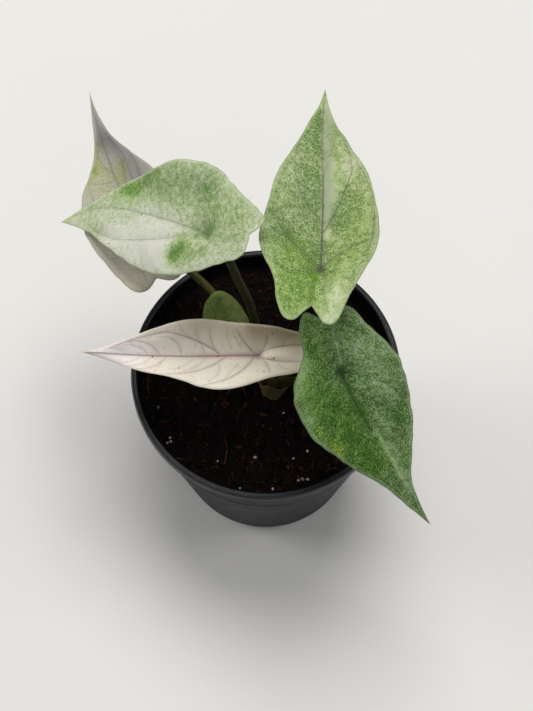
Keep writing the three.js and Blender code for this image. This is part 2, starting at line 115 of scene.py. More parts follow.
# Every leaf. Places and widths are in millimetres, s along the midrib from the seat to the
# tip and t to its left. Heading, pitch, roll and fold are in degrees, curl in degrees for
# each centimetre away from the midrib, and arch in radians for each metre along it, with its
# own value for the lobes. Sweep bows the midrib sideways. Wave, ripple, recurve and cushion
# are millimetres of wavy blade, uneven outline, turned-down margin and swelling behind the
# seat. A vein is its first point, a point that it passes through, its last point, its width
# and its strength. A patch is a soft stroke: its first and last point, its reach and how
# much greener the blade is there, on top of the leaf's density. Warmth is the same for
# yellower strokes, and a tinted stroke gives its share of red, green and blue: some tinted
# strokes are the leaf's own colour, some darken a part as painted shade, and some lighten a
# part as painted light. Spots are dots and their radii. Fleck is the flecks' size, netted how
# far they are a net of lines, net how strong the finest veins show, and hollow how much
# painted shade darkens the recess at the seat. Stalk painted light scales a stalk's colour up
# or down, as painted light and painted shade.
LEAVES = {
    "far_left": {
        "seat": (-53.3, 41.7, 146), "heading": 112, "pitch": -8, "roll": 3,
        "lobe_arch": 4, "sweep": -0.7, "fold": -4, "curl": -3,
        "ripple": 0.35, "notch": (-21, 0.5), "tip": (95, -1),
        "left": [(-24.8, 5.4), (-24, 11), (-16, 15), (-5, 18), (4, 20.3), (13, 21.3),
                 (24, 19.7), (34, 16.3), (42, 11), (52, 6.2), (63, 3.4), (80, 0.9)],
        "right": [(-24, -4), (-23, -9.5), (-16, -15), (-5, -18), (4, -20.3), (13, -21),
                  (25, -20), (38, -16.8), (50, -10.8), (62, -4.7), (80, -1.6)],
        # This stalk's painted light makes it lighter than its own colour, as lit from above.
        "stalk_angle": 150, "stalk_tone": 1.4, "stalk_foot": 1.7, "stalk_top": 1.8,
        "route": [(-11.6, 20.7, 97), (-24.3, 36.8, 103), (-34.8, 43.4, 112), (-45, 45, 125)],
        "veins": [
            ((0, 0), (40, 0.3), (92, -0.6), 0.4, 0.6),
            ((6, -1), (33, -10.6), (65, -6), 0.35, 0.5),
            ((10, -0.6), (36, -6.9), (64, -2.8), 0.35, 0.45),
            ((22, -0.4), (44, -5), (68, -1.4), 0.3, 0.35),
            ((35, 0.6), (35.4, 6), (39.6, 13.4), 0.3, 0.35),
            ((5, 1), (20, 11), (42, 11), 0.35, 0.35),
            ((40, 0.5), (50, 4), (60, 2.6), 0.3, 0.35),
            ((2, -1), (8, -12), (24, -17), 0.35, 0.35),
            ((-1, -1), (-10, -4), (-21, -5), 0.35, 0.45),
            ((-1, 1), (-10, 4), (-21, 5), 0.35, 0.45),
            ((-1, 1), (-5, 9), (-4, 16), 0.3, 0.3),
        ],
        "patches": [((44, 8), (60, 3), 3.2, 0.3), ((36, 15), (44, 10), 2.5, 0.24),
                    ((34, -3), (44, -5), 3, 0.22), ((30, 6), (40, 3), 7, 0.16),
                    ((72, -1), (92, -1), 4, -0.2), ((-16, -10), (4, -14), 5, -0.1)],
        "warmth": [((30, 10), (48, 6), 6, 0.4), ((34, -3), (46, -5), 4, 0.6)],
        "density": 0.22, "fleck": 0.78, "contrast": 1.7, "netted": 0.35, "hollow": 0.5,
        # The first two tinted strokes darken the right half and the tip as painted shade, with
        # some lilac of the leaf's own; the last two lighten the lobes as painted light where the
        # left leaf's shadow falls.
        "tints_and_painted_light": [((10, -14), (60, -5), 9, (0.56, 0.56, 0.64)),
                  ((62, -1), (92, -1), 10, (0.62, 0.6, 0.66)),
                  ((-24, -8), (-20, 8), 7, (1.5, 1.42, 1.44)),
                  ((-14, 13), (2, 15), 5.5, (1.24, 1.2, 1.24))],
        "pale": (172, 167, 158), "fresh": (146, 156, 108), "deep": (104, 128, 58),
        "vein_colour": (84, 80, 74), "tip_colour": (190, 128, 62),
    },
    "left": {
        "seat": (-25.2, 21.3, 190), "heading": 137, "pitch": -23, "roll": -30,
        "arch": 3, "lobe_arch": 3, "sweep": 3.6, "curl": -6,
        "ripple": 0.6, "notch": (-20.8, -8), "tip": (88, 0.3),
        "left": [(-23, -3), (-22, 1), (-16, 6), (-4, 15), (6, 21), (18, 24), (30, 23.8),
                 (41, 20.4), (54, 15.4), (66, 9.6)],
        "right": [(-24, -14), (-22, -17.5), (-14, -19.5), (-6, -21.5), (8, -25), (18, -26.6),
                  (30, -25.8), (42, -23), (54, -14.8), (66, -8)],
        # This stalk's painted light makes it darker than its own colour: painted shade, for the
        # shadow on it.
        "stalk_angle": 95, "stalk_tone": 0.62, "stalk_foot": 1.95, "stalk_top": 1.75,
        "route": [(-0.8, 6.1, 108), (-4.6, 10.5, 128), (-7.3, 12.5, 146), (-11, 13.8, 160),
                  (-15.4, 17.4, 175)],
        "veins": [
            ((0, 0), (24.5, 1.2), (51, -0.4), 0.45, 0.6),
            ((51, -0.4), (68, -1.5), (87, 0.4), 0.3, 0.45),
            ((1.6, 0.3), (24, 10.6), (48.3, 13.5), 0.35, 0.4),
            ((44, 13.4), (58, 10.6), (70.5, 3.8), 0.3, 0.35),
            ((0.2, -1.3), (8, -10.5), (22.9, -19.5), 0.4, 0.2),
            ((-1.3, -2.7), (1.4, -12.6), (13.7, -22.8), 0.4, 0.2),
            ((11.6, 0.6), (30, -8.7), (53.1, -14.4), 0.35, 0.22),
            ((-1.1, -1.2), (-9.5, -6.6), (-20.2, -8.7), 0.4, 0.35),
            ((-1.5, -1), (-10.7, -2), (-19.7, -4.1), 0.35, 0.3),
            ((-0.6, 0.5), (-1.1, 8), (4, 17), 0.35, 0.25),
        ],
        "patches": [((7, 8.5), (8.5, 12), 3.2, 0.36), ((10, 15.5), (11, 14.6), 2.2, 0.32),
                    ((12, 10), (6, 15), 4, 0.12), ((-2.6, 7), (2, 10), 3.4, 0.22),
                    ((-1, -1), (3, 1), 2.2, 0.3), ((0, -3), (9, -15), 6, 0.14),
                    ((12, -15), (44, -14), 9, 0.2), ((44, -16), (58, -9), 4, 0.22),
                    ((24, -6), (34, -9), 4, 0.1), ((-4, -10), (-16, -12), 8, 0.2),
                    ((-18, -5), (-6, 4), 4, 0.07), ((-14, 1), (-6, 8), 4, -0.05),
                    ((20, 12), (48, 12), 8, -0.32), ((6, 19), (34, 21), 4, -0.2),
                    ((20, 3), (34, 1), 5.5, -0.16), ((62, 3), (80, 1), 4, -0.04),
                    ((47, -8), (53, -9), 3, 0.24),
                    ((-19, -14), (-21, -10), 3, -0.15)],
        "warmth": [((7, 9), (10, 16), 6, 0.3), ((30, -20), (56, -8), 6, 0.25),
                   ((80, 0), (86, 0), 4, 0.5)],
        "density": 0.44, "fleck": 0.8, "contrast": 1.65, "netted": 0.6, "hollow": 0.5,
        # The first tinted stroke darkens the upper part of the blade as painted shade.
        "tints_and_painted_light": [((12, -17), (44, -16), 9, (0.74, 0.76, 0.76)),
                  ((20, 12), (48, 12), 9, (1.06, 1.04, 1.1)),
                  ((7, 9), (10, 15), 3.6, (0.74, 0.86, 0.62)),
                  ((47, -8), (53, -9), 3.4, (0.88, 1, 0.7))],
        "spots": [((36.5, 1.5), 0.45), ((48.6, 15.6), 0.35)],
        "pale": (200, 202, 186), "fresh": (146, 166, 110), "deep": (80, 118, 44),
        "vein_colour": (108, 120, 92), "tip_colour": (168, 172, 104),
    },
    "right": {
        "seat": (21.2, 1.7, 200), "heading": 88.5, "pitch": -4, "roll": -3,
        "lobe_arch": 4, "curl": -5,
        "ripple": 0.3, "notch": (-17, 3.3), "tip": (91, -0.9),
        "left": [(-19, 6), (-22.6, 10), (-21.5, 14), (-15, 16.6), (-3, 18.6), (8, 23.4),
                 (18, 24.6), (30, 22), (46, 18), (58, 12.2), (72, 5.6), (83, 1)],
        "right": [(-20.5, 1.2), (-24.6, -1.6), (-23.6, -6.2), (-13, -11), (-1, -17),
                  (10, -21.8), (20, -23), (32, -21.4), (46, -18.4), (58, -12.2), (72, -5),
                  (84, -1.8)],
        "stalk_angle": 20, "stalk_foot": 1.9, "stalk_top": 1.5,
        "route": [(14, 1.6, 101), (20.1, 2.1, 118), (23.7, 3.2, 140), (22.9, 2.6, 168)],
        "veins": [
            ((0, 0), (20, -0.5), (44, -0.5), 0.8, 0.95),
            ((43, -0.5), (66, 0), (89, -0.7), 0.4, 0.5),
            ((15.5, -1), (31, -7.8), (46.4, -12.1), 0.4, 0.75),
            ((46, -12.1), (58, -10.3), (72, -4.4), 0.3, 0.5),
            ((1.2, -0.8), (7.6, -9.6), (13.1, -18.6), 0.35, 0.65),
            ((8, -18.4), (29, -20.9), (50, -14.5), 0.35, 0.6),
            ((50, -14.5), (62, -10.8), (76, -3.4), 0.25, 0.3),
            ((-1, -1.2), (-6.5, -2.4), (-12.3, -5.2), 0.3, 0.4),
            ((-3.5, -1.9), (-12, -1.2), (-21.8, -3.9), 0.35, 0.45),
            ((41, -0.6), (45.6, -1.2), (50, -2.8), 0.25, 0.4),
            ((20.8, -0.2), (33.8, 7.8), (49, 11), 0.4, 0.6),
            ((49, 11), (60, 9.8), (73, 4.3), 0.3, 0.35),
            ((1.4, 0.4), (10, 10.3), (26, 19.4), 0.35, 0.55),
            ((26, 19.4), (38, 18), (52, 11.5), 0.3, 0.3),
            ((-1, 0.9), (-1.9, 8.5), (0.3, 17.2), 0.35, 0.45),
        ],
        "patches": [((2, 7), (14, 12), 6, 0.18), ((16, 10), (36, 12), 7, 0.1),
                    ((10, 3), (74, 2.4), 3, 0.14), ((28, 5), (60, 6), 5, 0.14),
                    ((60, 3), (76, 2), 2.5, 0.16), ((-4, 9), (-12, 13), 6, 0.16),
                    ((-2, 2), (-16, 3.6), 1.3, 0.45), ((-2, 4), (-14, 8), 3, 0.1),
                    ((14, -2), (80, -1.8), 2, -0.6), ((30, -4), (50, -5), 2.2, -0.3),
                    ((44, -11), (54, -13), 4, -0.4), ((54, -8), (72, -4.4), 2, -0.15),
                    ((18, -6), (32, -11), 4.5, 0.26), ((6, 4), (14, 14), 5, 0.14),
                    ((44, -6), (56, -5), 2.5, 0.1), ((1, -4), (5, -6), 3, 0.12),
                    ((10, -20), (42, -19), 2.5, -0.16), ((-8, -7), (8, -15), 4, -0.08),
                    ((-23, -3), (-13, -6), 4.5, -0.42), ((46, 15), (30, 20), 3, -0.1),
                    ((6, 18), (20, 22), 4, -0.05), ((54, 10), (38, 13), 2.5, -0.08)],
        "warmth": [((4, 9), (-16, 12), 8, 0.8), ((-4, 2.6), (-16, 4), 2.5, 0.8),
                   ((-2, -6), (-16, -4), 6, 0.5), ((4, -12), (34, -15), 8, 0.6),
                   ((82, 0), (89, 0), 4, 0.6), ((44, -5), (60, -6), 4, 0.4)],
        "density": 0.6, "fleck": 1.0, "contrast": 2.3, "netted": 0.8, "hollow": 0.8,
        "tints_and_painted_light": [((20, -2.4), (78, -2), 3, (0.66, 0.69, 0.7)),
                  ((-18, 10), (8, 13), 8, (0.94, 1.0, 0.76)),
                  ((18, 8), (50, 8), 9, (1.12, 1.04, 1.16)),
                  ((-24, -3), (-14, -6), 5, (1.16, 1.14, 1.3)),
                  ((36, -14), (56, -12), 6, (1.1, 1.04, 1.16)),
                  ((2, -8), (20, -15), 7, (0.95, 0.95, 0.85))],
        "pale": (178, 186, 148), "fresh": (130, 156, 94), "deep": (80, 112, 48),
        "vein_colour": (76, 84, 68), "tip_colour": (112, 138, 62),
    },
    "front_right": {
        "seat": (30.4, -31.8, 172), "heading": -54.5, "pitch": -32, "roll": 6,
        "lobe_arch": 2, "curl": -5,
        "ripple": 0.65, "notch": (-20, 4.4), "tip": (76, 1.4),
        "left": [(-23, 10), (-22, 15.4), (-14, 18), (-4, 21.3), (7, 23.2), (18, 21.6),
                 (30, 17), (44, 8.8), (54, 3.4), (65, 1.7)],
        "right": [(-26, 1.6), (-28.6, -1.4), (-24, -6.4), (-14, -10.2), (-9, -16),
                  (-1, -21.6), (9, -23.2), (20, -22.2), (34, -16), (50, -7.8), (65, -2.4)],
        "stalk_angle": 318, "stalk_foot": 1.9, "stalk_top": 1.5,
        "route": [(11.5, -8, 106), (17.1, -13.8, 126), (23.5, -19.5, 148)],
        "veins": [
            ((0, 0), (11, -1.3), (27, -1.3), 0.9, 0.9),
            ((-19, 5.4), (-9, 3.6), (-1.2, 0.6), 0.4, 0.2),
            ((0.3, -0.8), (4, -12), (10.5, -21.5), 0.4, 0.22),
            ((5.3, -1), (14, -11), (27, -17), 0.4, 0.22),
            ((0.9, 0.8), (9, 10.4), (22, 16.6), 0.4, 0.22),
            ((9.8, -0.9), (22, 8.2), (36, 11), 0.4, 0.22),
            ((-0.8, -0.4), (-7, -4.2), (-17, -7.6), 0.4, 0.3),
            ((-0.2, 1), (-6, 9), (-10, 16), 0.35, 0.22),
            ((26, -1.3), (36, -7), (50, -6), 0.3, 0.2),
            ((26, -1.2), (38, 4), (52, 3.2), 0.3, 0.2),
        ],
        "patches": [((4, -5), (40, -5), 4.5, 0.22), ((6, -12), (30, -12), 5, 0.14),
                    ((2, 0), (24, -1.5), 1.8, 0.24), ((-8, -6), (-20, -7), 4, 0.14),
                    ((27, 0.2), (54, 0.4), 1.1, -0.4), ((36, 3), (60, 2.4), 3, -0.24),
                    ((-14, 9), (-3, 12), 5, -0.24), ((6, 12), (20, 14), 4, -0.1),
                    ((14, 6), (30, 5), 3.5, -0.05), ((30, 10), (20, 17), 3, 0.3),
                    ((0, -19), (8, -21), 3, -0.3), ((-12, -11), (-4, -16), 3, -0.25),
                    ((4, -12), (10, -20), 1.4, -0.3), ((14, -9), (24, -15), 1.2, -0.2),
                    ((9, 9), (20, 15), 1.2, -0.16), ((-3, 6), (-8, 13), 1.4, -0.14),
                    ((-19, 5.6), (-3, 1.6), 0.5, -0.4), ((-17, 11), (-10, 15), 3, 0.2),
                    ((60, 0), (72, 1), 3, 0.1)],
        "warmth": [((6, -6), (42, -6), 7, 0.7), ((24, -17), (28, -17), 2.5, 1.6),
                   ((14, -20), (17, -20), 2.5, 1.2), ((42, 8.4), (46, 7.6), 2, 1.4),
                   ((-16, -6), (-8, -8), 5, 0.5), ((66, 1), (74, 1.4), 5, 0.9)],
        "density": 0.66, "fleck": 0.9, "contrast": 2.0, "netted": 0.9, "net": 0.03, "hollow": 0.8,
        # The second tinted stroke lightens the lobe as painted light where the right leaf's
        # shadow falls; the third darkens the midrib by the seat as painted shade of its hollow.
        "tints_and_painted_light": [((0, -14), (36, -10), 10, (0.68, 0.88, 0.4)),
                  ((-24, 0), (-14, -6), 7, (1.3, 1.4, 1.0)),
                  ((2, -1), (24, -3), 2.5, (0.85, 0.88, 0.7)),
                  ((23, -17), (28, -16.6), 1.6, (2.0, 1.6, 1.1)),
                  ((14, -19.6), (17, -19.4), 1.4, (1.6, 1.4, 1))],
        "spots": [((26.2, -17.9), 0.4), ((44, 8.2), 0.35)],
        "pale": (152, 168, 136), "fresh": (86, 116, 54), "deep": (48, 82, 14),
        "vein_colour": (36, 60, 18), "tip_colour": (150, 128, 84),
    },
    "front_left": {
        "seat": (-3.2, -8.8, 138), "heading": 179, "pitch": -3, "roll": -14,
        "lobe_arch": 3, "fold": 40, "curl": -3,
        "ripple": 0.25, "notch": (-20, -1), "tip": (76, -2.4),
        "left": [(-23, 2.4), (-23, 7), (-16, 9.6), (-5, 12.4), (5, 17), (14, 19), (23, 17.4),
                 (35, 12), (50, 7.6), (63, 2)],
        "right": [(-23, -4), (-23, -8), (-16, -10.4), (-5, -13), (8, -14.5), (20, -16.2),
                  (30, -16), (42, -13), (54, -8.9), (66, -4.6)],
        "stalk_angle": 262, "stalk_foot": 1.7, "stalk_top": 1.3,
        "route": [(2.2, -6.4, 104), (-1.6, -6.6, 118)],
        "veins": [
            ((0, 0), (37, 0.4), (75.4, -2.3), 0.75, 0.85),
            ((16.4, -0.2), (28, -7.2), (38.2, -10.5), 0.4, 0.7),
            ((38.2, -10.5), (50, -8), (63.2, -3.5), 0.35, 0.5),
            ((1.4, -0.4), (5.6, -5), (9, -11.5), 0.35, 0.65),
            ((-0.7, -0.5), (-3, -3.8), (-4, -9.1), 0.35, 0.55),
            ((32.6, -0.3), (34, -5), (42, -8.1), 0.25, 0.4),
            ((41.8, -0.3), (46.5, -5), (55.7, -6.1), 0.3, 0.45),
            ((17.6, -0.6), (19.6, -6.5), (19.7, -12), 0.3, 0.45),
            ((11, -2), (12.6, -7), (12.4, -12.6), 0.2, 0.25),
            ((24.6, -4.8), (26, -9), (25.6, -13.6), 0.2, 0.25),
            ((-1.4, -1.4), (-7.3, -2.9), (-20, -3.9), 0.45, 0.7),
            ((-1.4, 1.4), (-7, 2.8), (-20, 3.1), 0.45, 0.65),
            ((2, 0.6), (8.5, 10.3), (22, 16.4), 0.35, 0.6),
            ((13.6, 0.6), (24, 7.8), (38, 9.6), 0.35, 0.55),
            ((-1.2, 1.2), (-4.2, 5.6), (-5.1, 10.2), 0.35, 0.5),
            ((16.2, 5.1), (16.4, 10), (19.6, 14), 0.2, 0.3),
            ((39, 0.6), (43.5, 4.9), (51.1, 6.5), 0.3, 0.4),
            ((27, 0.6), (31, 5), (36, 7), 0.2, 0.25),
            ((50, 0.2), (55, 2.6), (61, 2.4), 0.2, 0.3),
            ((22.6, -0.6), (24.4, -6), (25.4, -11.6), 0.22, 0.35),
            ((7, -2.6), (9.4, -7.6), (10.6, -13), 0.2, 0.25),
            ((29, -8), (31.4, -11), (32.4, -14), 0.2, 0.3),
            ((47, -0.4), (51, -3.6), (57, -4.8), 0.2, 0.3),
            ((8, 4.6), (12.4, 11.4), (14, 15.4), 0.2, 0.25),
            ((21.4, 0.8), (27, 6.6), (33, 9.4), 0.2, 0.3),
            ((45, 0.4), (49.4, 3.8), (56, 4.6), 0.2, 0.3),
            ((57, -1), (61, -3), (66, -3.6), 0.2, 0.25),
            ((-10, -4), (-12, -7), (-17, -9), 0.22, 0.35),
            ((-8, 3.6), (-11, 7), (-15, 8.6), 0.22, 0.3),
        ],
        "patches": [],
        "warmth": [((-16, 0), (-6, 0), 8, 0.35)],
        "density": 0.1, "fleck": 1.2,
        "contrast": 2.0, "netted": 0.0, "net": 0.04, "cushion": 2.4, "hollow": 0.35,
        "recurve": 1.5,
        # The second and third tinted strokes darken the far half towards the seat as painted
        # shade; the fourth lightens the swelling behind the seat and the fifth the near half by
        # the seat, both as painted light.
        "tints_and_painted_light": [((52, -2), (72, -2), 6, (1.04, 1.06, 1.2)),
                  ((-14, -9), (26, -13), 5, (0.88, 0.82, 0.74)),
                  ((-20, -9), (0, -12), 6, (0.6, 0.56, 0.46)),
                  ((-20, 0), (-4, 0), 3.5, (1.22, 1.2, 1.2)),
                  ((-20, 8), (4, 11), 6, (1.15, 1.15, 1.1)),
                  ((1, 0.4), (24, 0.4), 1.3, (0.86, 0.76, 0.79))],
        "spots": [((45, 0.5), 0.4), ((17.1, 0.6), 0.4), ((33, 6.6), 0.35), ((43, 7.6), 0.3),
                  ((-6.6, 1.9), 0.4), ((-2.6, 9), 0.35), ((-6, -9), 0.35)],
        "pale": (222, 214, 202), "fresh": (206, 197, 178), "deep": (178, 170, 140),
        "vein_colour": (124, 92, 97), "tip_colour": (206, 190, 158),
    },
    "small": {
        "seat": (-15, 5.9, 117), "heading": 103, "pitch": -12, "roll": 0,
        "arch": 6, "lobe_arch": 4, "fold": 6, "curl": -8, "wave": 0.3,
        "ripple": 0.2, "notch": (-7, 0), "tip": (32.2, 0.4),
        "left": [(-9.5, 3), (-8, 6.6), (-2, 9.2), (7, 9.8), (17, 9.4), (25, 7),
                 (30.4, 3.2)],
        "right": [(-9.5, -3), (-8, -6.6), (-2, -9.2), (7, -10.2), (17, -9), (25.4, -6),
                  (30.6, -2.4)],
        "stalk_angle": 205, "stalk_foot": 1.4, "stalk_top": 1.1,
        "route": [(-3, -2, 98), (-10.5, 1.6, 106)],
        "veins": [
            ((0, 0), (15, 0.2), (30, 0), 0.4, 0.35),
            ((2, 0.4), (9, 5.6), (20, 7), 0.3, 0.25),
            ((2, -0.4), (9, -5.6), (20, -7), 0.3, 0.25),
            ((11, 0.3), (17, 4), (26, 4), 0.25, 0.2),
            ((11, -0.3), (17, -4), (26, -4), 0.25, 0.2),
        ],
        "patches": [((10, 0), (28, 0.6), 2.6, 0.35), ((12, -7), (26, -4), 3.5, -0.25),
                    ((24, 4), (29, 1), 4, 0.15)],
        "warmth": [((16, 0), (22, 4), 8, 0.6)],
        "density": 0.5, "fleck": 0.9, "contrast": 2.6, "netted": 0.6, "hollow": 0.3,
        "tints_and_painted_light": [],
        # These colours are darker than the leaf's own: painted shade, for the shade it grows in
        # under the larger blades.
        "pale": (82, 90, 43), "fresh": (52, 67, 13), "deep": (32, 56, 2),
        "vein_colour": (50, 62, 32), "tip_colour": (90, 106, 54),
    },
}
LEAVES = {name: {**PLAIN_LEAF, **leaf} for name, leaf in LEAVES.items()}

# Bright grains that lie on the mix, in millimetres across and away
PERLITE = {
    "small": [(-43.4, -30.9), (-41.8, -30.4), (-42.2, -28.9), (14.2, -49), (7.8, -17.3),
              (18.4, -34.9), (-21.1, -39.8), (12.1, -38.4), (-47.8, -14.1), (-51.4, 22.4),
              (-50, 24.4), (-11.2, -52.3), (3, -52.6)],
    "large": [(-4.7, -38), (16, -48.4), (18.3, -48.2)],
}

# Long threads on the mix, by the places that they run through
THREADS = [[(-18, -29.9), (-17.1, -33.6), (-17.5, -37.4), (-18.1, -41.1)],
           [(-52.4, 1.6), (-53, -2.8), (-52.2, -7.6)],
           [(-39.4, -38.3), (-37.1, -38.9), (-35.4, -39.2)],
           [(26, -44.6), (29.6, -43.2), (33, -44)]]


# Settings

Length = partial(FloatProperty, unit="LENGTH")
Power = partial(FloatProperty, unit="POWER")
Colour = partial(FloatVectorProperty, subtype="COLOR", min=0, max=1)


class PotSizes(bpy.types.PropertyGroup):
    """Sizes and plastic of the pot"""

    lip_radius: Length(
        name="Lip radius", description="Outside radius of the rolled lip", default=0.060)
    height: Length(
        name="Height", description="Height of the pot over the lip", default=0.100)
    foot_radius: Length(
        name="Foot radius", description="Radius of the pot's foot", default=0.042)
    wall: Length(
        name="Wall", description="Thickness of the moulded wall", default=0.0015)
    sides: IntProperty(
        name="Sides", description="Steps round the turned shapes", default=192, min=24)
    plastic: Colour(
        name="Plastic", description="Colour of the moulded plastic",
        default=(0.004, 0.004, 0.006))


class MixLook(bpy.types.PropertyGroup):
    """How much is strewn on the potting mix, and its colours"""

    crumbs: FloatProperty(
        name="Crumbs", description="Crumbs on each square metre of the mix",
        default=420000, min=0)
    chips: FloatProperty(
        name="Bark chips", description="Chips on each square metre of the mix",
        default=42000, min=0)
    fibres: FloatProperty(
        name="Coir fibres", description="Fibres on each square metre of the mix",
        default=9000, min=0)
    # The mix colour is darker than damp mix itself: painted shade, for the shade inside the pot.
    dark_with_painted_shade: Colour(
        name="Mix", description="Colour of the damp mix", default=(0.0026, 0.0014, 0.0011))
    bark: Colour(
        name="Bark", description="Colour of the reddish bark chips",
        default=(0.065, 0.02, 0.010))
    coir: Colour(
        name="Coir", description="Colour of the coir fibres", default=(0.075, 0.034, 0.018))


class BladeSizes(bpy.types.PropertyGroup):
    """Thickness, relief and fineness of every blade"""

    thickness: Length(
        name="Thickness", description="Thickness of a blade between its veins",
        default=0.00055)
    valley: Length(
        name="Vein valley", description="How deep the blade dips along its main veins",
        default=0.0009)
    keel: Length(
        name="Keel", description="How far the midrib stands out under the blade",
        default=0.0012)
    rings: IntProperty(
        name="Rings", description="Steps from the stalk to the margin", default=60, min=8)
    steps: IntProperty(
        name="Margin steps", description="Steps along each side of the margin",
        default=144, min=16)


class StalkLook(bpy.types.PropertyGroup):
    """Form and colours of the stalks and the sheath"""

    sides: IntProperty(
        name="Sides", description="Steps round a stalk", default=24, min=6)
    flare: FloatProperty(
        name="Foot flare", description="How much wider a stalk is where it sheathes the crown",
        default=0.75, subtype="FACTOR")
    # This green is darker than a fresh stalk's own colour: painted shade, for the shade under the
    # blades.
    green: Colour(
        name="Green", description="Colour of the fresh stalk", default=(0.027, 0.026, 0.008))
    straw: Colour(
        name="Straw", description="Colour of the dry sheath", default=(0.062, 0.05, 0.022))


class StudioLook(bpy.types.PropertyGroup):
    """Floor and lights"""

    floor: Colour(
        name="Floor", description="Colour of the studio floor", default=(0.72, 0.71, 0.69))
    key: Power(
        name="Key light", description="Power of the soft light behind the plant", default=36)
    side: Power(
        name="Side lights", description="Power of the left light, twice that of the right",
        default=11)
    fill: Power(
        name="Fill light", description="Power of the wide light in front", default=2.2)


def paint(red, green, blue):
    """A linear colour from the usual 0 to 255 values."""
    def linear(value):
        share = value / 255
        return share / 12.92 if share <= 0.04045 else ((share + 0.055) / 1.055) ** 2.4
    return (linear(red), linear(green), linear(blue), 1)


def opaque(colour):
    """A linear colour as a shader takes it."""
    return (*colour, 1)


def shade(colour, factor):
    """A linear colour made lighter or darker."""
    return [min(channel * factor, 1) for channel in colour]


def smooth(value, start, end):
    """0 before start and 1 after end, with a soft turn between, for arrays as well."""
    share = np.clip((value - start) / (end - start), 0, 1)
    return share * share * (3 - 2 * share)


# Nodes

class Bench:
    """Adds nodes to one tree and joins them. Any input takes a socket or a plain value."""

    def __init__(self, tree):
        self.tree = tree

    def feed(self, socket, value):
        if isinstance(value, bpy.types.NodeSocket):
            self.tree.links.new(value, socket)
        else:
            socket.default_value = value

    def add(self, kind, *values, **settings):
        """A new node, with its first inputs fed in order."""
        node = self.tree.nodes.new(kind)
        column = len(self.tree.nodes)
        node.location = (200 * (column % 24), -260 * (column // 24))
        for name, value in settings.items():
            setattr(node, name, value)
        for socket, value in zip(node.inputs, values):
            self.feed(socket, value)
        return node

    def named(self, kind, values, output=0, **settings):
        """One output of a new node whose inputs are given by name."""
        node = self.add(kind, **settings)
        for name, value in values.items():
            self.feed(node.inputs[name], value)
        return node.outputs[output]

    def math(self, operation, *values):
        return self.add("ShaderNodeMath", *values, operation=operation).outputs[0]

    def times(self, *values):
        return self.math("MULTIPLY", *values)

    def scaled(self, value, factor, base):
        """The value times the factor, plus the base."""
        return self.math("MULTIPLY_ADD", value, factor, base)

    def vector(self, operation, *values):
        """A vector sum. Its length or dot product comes out of the second output."""
        node = self.add("ShaderNodeVectorMath", *values, operation=operation)
        return node.outputs[1 if operation in ("LENGTH", "DOT_PRODUCT", "DISTANCE") else 0]

    def split(self, vector):
        return self.add("ShaderNodeSeparateXYZ", vector).outputs[:]

    def combined(self, x, y, z):
        return self.add("ShaderNodeCombineXYZ", x, y, z).outputs[0]

    def attribute(self, name, output="Fac"):
        """What a mesh keeps at its points."""
        return self.add("ShaderNodeAttribute", attribute_name=name).outputs[output]

    def ramp(self, value, start, end, low=0.0, high=1.0):
        """From low to high with a soft turn as the value goes from start to end."""
        return self.add("ShaderNodeMapRange", value, start, end, low, high,
                        interpolation_type="SMOOTHSTEP").outputs[0]

    def mix(self, share, first, second, blend="MIX"):
        """The first colour turning into the second as the share goes from 0 to 1."""
        node = self.add("ShaderNodeMix", data_type="RGBA", blend_type=blend)
        for index, value in ((0, share), (6, first), (7, second)):
            self.feed(node.inputs[index], value)
        return node.outputs[2]

    def filtered(self, colour, shares):
        """A colour with each channel times its share."""
        return self.mix(1.0, colour, shares, "MULTIPLY")

    def coats(self, colour, *coats):
        """A colour with others laid over it, each by its own share."""
        for share, coat in coats:
            colour = self.mix(share, colour, coat)
        return colour

    def spots(self, place, scale, detail=2.0, rough=0.5, **more):
        """Even noise between 0 and 1."""
        return self.named("ShaderNodeTexNoise", {
            "Vector": place, "Scale": scale, "Detail": detail, "Roughness": rough, **more})

    def group(self, tree, **values):
        """The outputs of a node group whose inputs are given by name."""
        node = self.add("ShaderNodeGroup", node_tree=tree)
        for name, value in values.items():
            self.feed(node.inputs[name.title()], value)
        return node.outputs[:]

    def chance(self, kind, low, high, seed):
        """A random value or vector for each point, between two bounds."""
        node = self.add("FunctionNodeRandomValue", data_type=kind)
        bounds = [socket for socket in node.inputs if socket.enabled]
        self.feed(bounds[0], low)
        self.feed(bounds[1], high)
        self.feed(node.inputs["Seed"], seed)
        return next(socket for socket in node.outputs if socket.enabled)

    def kept(self, geometry, name, value, kind="FLOAT"):
        """The geometry with a value kept at its points."""
        return self.named("GeometryNodeStoreNamedAttribute", {
            "Geometry": geometry, "Name": name, "Value": value},
            data_type=kind, domain="POINT")

    def shape(self, kind, **values):
        """What a Geometry Nodes node gives, with its inputs given by name."""
        return self.named("GeometryNode" + kind, {
            name.replace("_", " ").title(): value for name, value in values.items()})


class Skin(Bench):
    """The bench of a new material, which ends in one shader."""

    def __init__(self, name):
        self.material = bpy.data.materials.new(name)
        self.material.use_nodes = True
        super().__init__(self.material.node_tree)
        self.tree.nodes.clear()
        self.shader = self.add("ShaderNodeBsdfPrincipled")
        output = self.add("ShaderNodeOutputMaterial")
        self.feed(output.inputs["Surface"], self.shader.outputs[0])

    def finish(self, colour, roughness, shine=0.5, bump=None):
        """The material. A bump is its height, its strength and its depth in metres."""
        self.feed(self.shader.inputs["Base Color"], colour)
        self.feed(self.shader.inputs["Roughness"], roughness)
        self.feed(self.shader.inputs["Specular IOR Level"], shine)
        if bump:
            height, strength, depth = bump
            self.feed(self.shader.inputs["Normal"], self.named("ShaderNodeBump", {
                "Strength": strength, "Distance": depth, "Height": height}))
        return self.material


